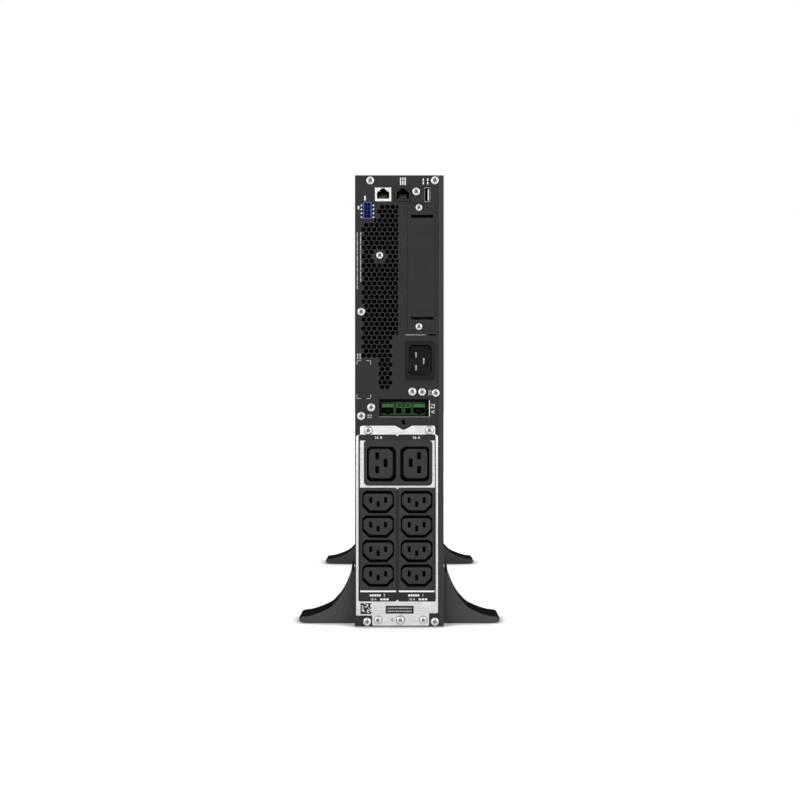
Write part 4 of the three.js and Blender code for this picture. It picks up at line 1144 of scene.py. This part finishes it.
def make_label_print(settings):
    ink_depth = settings.thickness
    low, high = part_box("output_label")
    left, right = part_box("outlet_strip_left"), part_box("outlet_strip_right")
    white = Printing(low.y - 0.01 * MM, ink_depth)
    for (a, b), number in ((left, "2"), (right, "1")):
        middle = (a.x + b.x) / 2
        white.bar((a.x, b.x, a.z - 2.55 * MM, a.z - 0.95 * MM))
        name_bars = (middle - 8 * MM, middle + 2.5 * MM, 29.2 * MM, 31.1 * MM)
        white.broken_bars(name_bars, [1, 1, 1, 1, 1], 0.5 * MM, upright=False)
        white.text(number, 3.4, middle + 6 * MM, 30.2 * MM)
        white.text("10 A", 3.1, middle - 4.5 * MM, 26.3 * MM)
        limit_bars = (middle + 2 * MM, middle + 10 * MM, 25.5 * MM, 27.2 * MM)
        white.broken_bars(limit_bars, [1, 1, 1], 0.7 * MM, upright=False)
    for x in (-20.0, 16.2):
        white.text("16 A", 3.9, x * MM, 180.9 * MM)
    middle = (left[1].x + right[0].x) / 2
    for z, up in ((high.z - 0.1 * MM, -1), (133.0 * MM, -1), (low.z + 0.1 * MM, 1)):
        white.shape([(middle - 1.5 * MM, z), (middle + 1.5 * MM, z), (middle, z + up * 1.5 * MM)])
    white.finish("label_print", "white_ink")

    zinc_face = PLATE_FACE - 0.01 * MM
    black = Printing(zinc_face, ink_depth)
    matrix_code(black, -37.2 * MM, 12.2 * MM, 1.05 * MM)
    black.shape(soft_rectangle(*mm(-13.1, 13.7, 12.6, 20.2), 0.6 * MM, 3))
    # The earth symbol, lying on its side.
    for x, half in ((-6.4, 2.0), (-7.4, 1.3), (-8.4, 0.6)):
        black.bar(mm(x - 0.2, x + 0.2, 6.6 - half, 6.6 + half))
    black.bar(mm(-6.4, -4.4, 6.4, 6.8))
    gutter = Printing(white.face, ink_depth)
    gutter.bar((middle - 0.5 * MM, middle + 0.5 * MM, 36 * MM, 130.6 * MM))
    black.marks += gutter.marks
    black.finish("plate_print", "black_ink")

    pale = Printing(zinc_face - ink_depth - 0.005 * MM, ink_depth)
    for z, words in ((17.2, [1, 1, 1, 1, 1, 1, 2, 2, 2, 1, 1]), (14.3, [2, 1, 1, 2, 1, 1, 1, 2, 1])):
        pale.broken_bars(mm(-11.2, 11.8, z, z + 1.2), words, 0.6 * MM, upright=False)
    pale.finish("rating_print", "grey_ink")


# ---------------------------------------------------------------- feet


def smooth_run(points, steps=6):
    """A smooth line through the points."""
    run = []
    for i in range(len(points) - 1):
        a = Vector(points[max(i - 1, 0)])
        b, c = Vector(points[i]), Vector(points[i + 1])
        d = Vector(points[min(i + 2, len(points) - 1)])
        for k in range(steps):
            t = k / steps
            square, cube = 2 * a - 5 * b + 4 * c - d, 3 * b - a - 3 * c + d
            run.append(tuple(0.5 * (2 * b + (c - a) * t + square * t * t + cube * t * t * t)))
    run.append(tuple(points[-1]))
    return run


# Top of a foot, as millimetres in from its tip and above the floor.
FOOT_CURVE = [(8.0, 6.9), (17.9, 9.4), (29.5, 14.6), (35.4, 19.9), (41.2, 27.2), (46.6, 38.0), (50.2, 48.6)]
# A foot's tip is rounded this far in from its two faces, seen from above.
NOSE_ROUND = 5 * MM


def round_nose(bm, low, high, side, tip):
    """Draws a foot's tip in near its two faces; the pull fades out 16 mm from the tip."""
    for station in (1.4 * MM, 2.6 * MM, 3.8 * MM, NOSE_ROUND):
        for y in (low.y + station, high.y - station):
            everything = [*bm.verts, *bm.edges, *bm.faces]
            bmesh.ops.bisect_plane(bm, geom=everything, plane_co=(0, y, 0), plane_no=(0, 1, 0))
    for v in bm.verts:
        inward = min(v.co.y - low.y, high.y - v.co.y, NOSE_ROUND)
        pull = NOSE_ROUND - math.sqrt(NOSE_ROUND**2 - (NOSE_ROUND - inward) ** 2)
        v.co.x -= side * pull * max(0.0, 1 - (tip - abs(v.co.x)) / (16 * MM))


def make_feet():
    for name in ("foot_rear_left", "foot_rear_right", "foot_front_left", "foot_front_right"):
        low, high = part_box(name)
        side, wall, tip = (1, low.x, high.x) if low.x > 0 else (-1, -high.x, -low.x)
        top = high.z
        finger = wall + 2.4 * MM
        run = [(tip - x * MM, z * MM) for x, z in FOOT_CURVE]
        nose = [(tip - 12 * MM, 0, 0), (tip, 0.5 * MM, 3 * MM), (tip, 6.3 * MM, 2.8 * MM), (*run[0], 0)]
        slope = smooth_run([*run, (wall + 3.2 * MM, top)])
        back = [(finger, top), (finger, top - 8 * MM), (wall, top - 8 * MM)]
        bm = bmesh.new()
        outline = [(wall, 0), *filleted(nose)[:-1], *slope, *back]
        bm.faces.new([bm.verts.new((side * x, low.y, z)) for x, z in outline])
        extruded(bm, high.y - low.y)
        level = [e for e in bm.edges if abs(e.verts[0].co.y - e.verts[1].co.y) < TINY]
        rounded(bm, [e for e in level if max(v.co.z for v in e.verts) > 1e-5], 0.9 * MM, 3)
        round_nose(bm, low, high, side, tip)
        bm.normal_update()
        for face in bm.faces:
            centre = face.calc_center_median()
            # The clip against the case is painted a paler grey: a painted highlight for the light it mirrors.
            on_clip_highlight = centre.z > top - 9 * MM and abs(centre.x) < finger + 0.2 * MM
            # Faces not turned front or back take near black: painted shade.
            face.material_index = 0 if abs(face.normal.y) > 0.6 else 2 if on_clip_highlight else 1
        stand_in(name, bm, ["foot_plastic", "foot_rim_painted_shade", "foot_clip_painted_highlight"], smooth=50)


# ---------------------------------------------------------------- battery module


def battery_parts(low, high):
    """A 12 V block on its side: case, lid, six vent caps and two blade terminals."""
    lid = high.x - 3 * MM
    y0, y1, z0, z1 = low.y, high.y, low.z, high.z

    def shrunk(x0, x1, by, **options):
        by *= MM
        return block((x0, x1, z0 + by, z1 - by), y0 + by, y1 - by, **options)

    parts = [
        shrunk(low.x, lid - 12.4 * MM, 1, edge=2 * MM, segments=3),
        shrunk(lid - 12 * MM, lid, 0, edge=1.6 * MM, segments=3, material=1),
        shrunk(lid - 12.6 * MM, lid - 11.8 * MM, 2, material=1),
    ]
    for cell in range(6):
        cap = turned([(0, 0), (6, 0), (6, -0.5), (5.4, -0.9), (0, -0.9)], 20, 1)
        moved(cap, turn=math.pi / 2, axis="Z")
        parts.append(moved(cap, lid, y0 + (cell + 0.5) * (y1 - y0) / 6, (z0 + z1) / 2))
    for z, finish in ((z0 + 13 * MM, 2), (z1 - 13 * MM, 3)):
        pad = (lid - 0.5 * MM, lid + 0.8 * MM, z - 5 * MM, z + 5 * MM)
        parts.append(block(pad, y0 + 6 * MM, y0 + 20 * MM, edge=0.3 * MM, material=finish))
        blade = (lid, high.x, z - 0.4 * MM, z + 0.4 * MM)
        parts.append(block(blade, y0 + 10 * MM, y0 + 16 * MM, edge=0.1 * MM, material=4))
    return parts


def make_battery():
    finishes = ["battery_abs", "battery_lid", "lead_red", "lead_black", "pin_nickel"]
    for k in range(1, 7):
        name = f"battery_block_{k}"
        stand_in(name, gathered(battery_parts(*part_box(name))), finishes)
    refined("battery_tray", 0.4 * MM, finish="tray_zinc")
    refined("battery_handle", 2.2 * MM, 4)
    refined("battery_plug", 0.6 * MM, 2)


# ---------------------------------------------------------------- electronics, fans and front


def make_electronics():
    for name, edge, segments in (
        ("transformer", 1.2, 3), ("output_inductor", 1.5, 3), ("bus_capacitor_1", 1.2, 3),
        ("bus_capacitor_2", 1.2, 3), ("fan_frame_lower", 0.5, 2), ("fan_frame_upper", 0.5, 2),
        ("fan_rotor_lower", 0.3, 2), ("fan_rotor_upper", 0.3, 2),
    ):
        refined(name, edge * MM, segments)


def make_front():
    for name, edge, segments in (
        ("battery_cover", 0.8, 3), ("display_bezel", 0.8, 3), ("display_housing", 0.4, 3),
        ("display_window", 0.3, 2),
    ):
        refined(name, edge * MM, segments)
    low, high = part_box("display_housing")
    sides = (LEFT + 4.5 * MM, RIGHT - 4.5 * MM, low.z - 8 * MM, high.z + 7 * MM)
    back = block(sides, low.y - 8 * MM, low.y - 7 * MM, edge=0.3 * MM)
    piece("display_back_wall", back, ["bezel_plastic"], slot="bezel_plastic")
    keys = [f"key_{k}" for k in range(1, 5)]
    lamp_z = (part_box("key_1")[1].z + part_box("display_window")[0].z) / 2
    lamps = []
    for a, b in map(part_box, keys):
        lamp = turned([(0, 0), (0.9, 0), (0.9, 0.25), (0.6, 0.4), (0, 0.4)], 20)
        lamps.append(moved(lamp, (a.x + b.x) / 2, high.y - 0.1 * MM, lamp_z))
    piece("status_lamps", gathered(lamps), ["status_lens"], body="display", slot="display_glass")
    for name in ("power_button", *keys):
        refined(name, 0.6 * MM, 3)


def finish_cad_nodes():
    """Gives every CAD node that still shows its own finish."""
    for name, obj in frame["nodes"].items():
        obj.data.materials.clear()
        obj.data.materials.append(MATERIALS[finish_of(name)])


# ---------------------------------------------------------------- operators


class Steps:
    """Runs an operator's makers in order, each with its group of the scene's settings, if it has one."""

    def execute(self, context):
        for maker, group in self.makers:
            if group:
                maker(getattr(context.scene, group))
            else:
                maker()
        return {"FINISHED"}


class UPS_OT_stage(Steps, bpy.types.Operator):
    """Camera, light and floor"""

    bl_idname = "ups.stage"
    bl_label = "Stage"
    makers = [(make_stage, "ups_stage")]


class UPS_OT_materials(Steps, bpy.types.Operator):
    """Finishes of every piece"""

    bl_idname = "ups.materials"
    bl_label = "Materials"
    makers = [(make_materials, None), (finish_cad_nodes, None)]


class UPS_OT_case(Steps, bpy.types.Operator):
    """Base pan, top cover and rear panel"""

    bl_idname = "ups.case"
    bl_label = "Case"
    makers = [(make_case, "ups_case")]


class UPS_OT_output_plate(Steps, bpy.types.Operator):
    """Output plate, its label and its earth stud"""

    bl_idname = "ups.output_plate"
    bl_label = "Output plate"
    makers = [(make_output_plate, None), (make_label, None)]


class UPS_OT_screws(Steps, bpy.types.Operator):
    """Pan-head screws of the rear and the sides"""

    bl_idname = "ups.screws"
    bl_label = "Screws"
    makers = [(make_screws, "ups_screws")]


class UPS_OT_outlets(Steps, bpy.types.Operator):
    """Mains outlets and inlet"""

    bl_idname = "ups.outlets"
    bl_label = "Outlets and inlet"
    makers = [(make_outlets, "ups_sockets"), (make_inlet, None)]


class UPS_OT_connectors(Steps, bpy.types.Operator):
    """Jacks, USB port, emergency terminal, battery port and card slot cover"""

    bl_idname = "ups.connectors"
    bl_label = "Connectors"
    makers = [
        (make_jacks, None), (make_usb, None), (make_emergency_terminal, None), (make_battery_port, None),
        (make_card_slot, None),
    ]


class UPS_OT_print(Steps, bpy.types.Operator):
    """Printed marks of the panel and the label"""

    bl_idname = "ups.print"
    bl_label = "Print"
    makers = [(make_panel_print, "ups_print"), (make_label_print, "ups_print")]


class UPS_OT_feet(Steps, bpy.types.Operator):
    """The four stabiliser feet"""

    bl_idname = "ups.feet"
    bl_label = "Feet"
    makers = [(make_feet, None)]


class UPS_OT_battery(Steps, bpy.types.Operator):
    """Battery blocks, tray, handle and plug"""

    bl_idname = "ups.battery"
    bl_label = "Battery module"
    makers = [(make_battery, None)]


class UPS_OT_electronics(Steps, bpy.types.Operator):
    """Power parts and fans inside the case"""

    bl_idname = "ups.electronics"
    bl_label = "Electronics"
    makers = [(make_electronics, None)]


class UPS_OT_front(Steps, bpy.types.Operator):
    """Bezels, display and keys"""

    bl_idname = "ups.front"
    bl_label = "Front"
    makers = [(make_front, None)]


OPERATORS = [
    UPS_OT_stage, UPS_OT_materials, UPS_OT_case, UPS_OT_output_plate, UPS_OT_screws, UPS_OT_outlets,
    UPS_OT_connectors, UPS_OT_print, UPS_OT_feet, UPS_OT_battery, UPS_OT_electronics, UPS_OT_front,
]
SETTINGS = {
    "ups_case": UPS_PG_case,
    "ups_sockets": UPS_PG_sockets,
    "ups_screws": UPS_PG_screws,
    "ups_print": UPS_PG_print,
    "ups_stage": UPS_PG_stage,
}


class UPS_PT_panel(bpy.types.Panel):
    """Sizes and steps of the UPS"""

    bl_label = "Tower UPS"
    bl_idname = "UPS_PT_panel"
    bl_space_type = "VIEW_3D"
    bl_region_type = "UI"
    bl_category = "UPS"

    def draw(self, context):
        for key in SETTINGS:
            group = getattr(context.scene, key)
            box = self.layout.box()
            for name in group.bl_rna.properties.keys():
                if name not in ("rna_type", "name"):
                    box.prop(group, name)
        for operator in OPERATORS:
            self.layout.operator(operator.bl_idname)


def register():
    for group in SETTINGS.values():
        bpy.utils.register_class(group)
    for operator in OPERATORS:
        bpy.utils.register_class(operator)
    bpy.utils.register_class(UPS_PT_panel)
    for key, group in SETTINGS.items():
        setattr(bpy.types.Scene, key, PointerProperty(type=group))


def unregister():
    for key in SETTINGS:
        delattr(bpy.types.Scene, key)
    bpy.utils.unregister_class(UPS_PT_panel)
    for cls in [*OPERATORS, *SETTINGS.values()]:
        bpy.utils.unregister_class(cls)


def main():
    register()
    for operator in OPERATORS:
        group, name = operator.bl_idname.split(".")
        getattr(getattr(bpy.ops, group), name)()


if __name__ == "__main__":
    main()
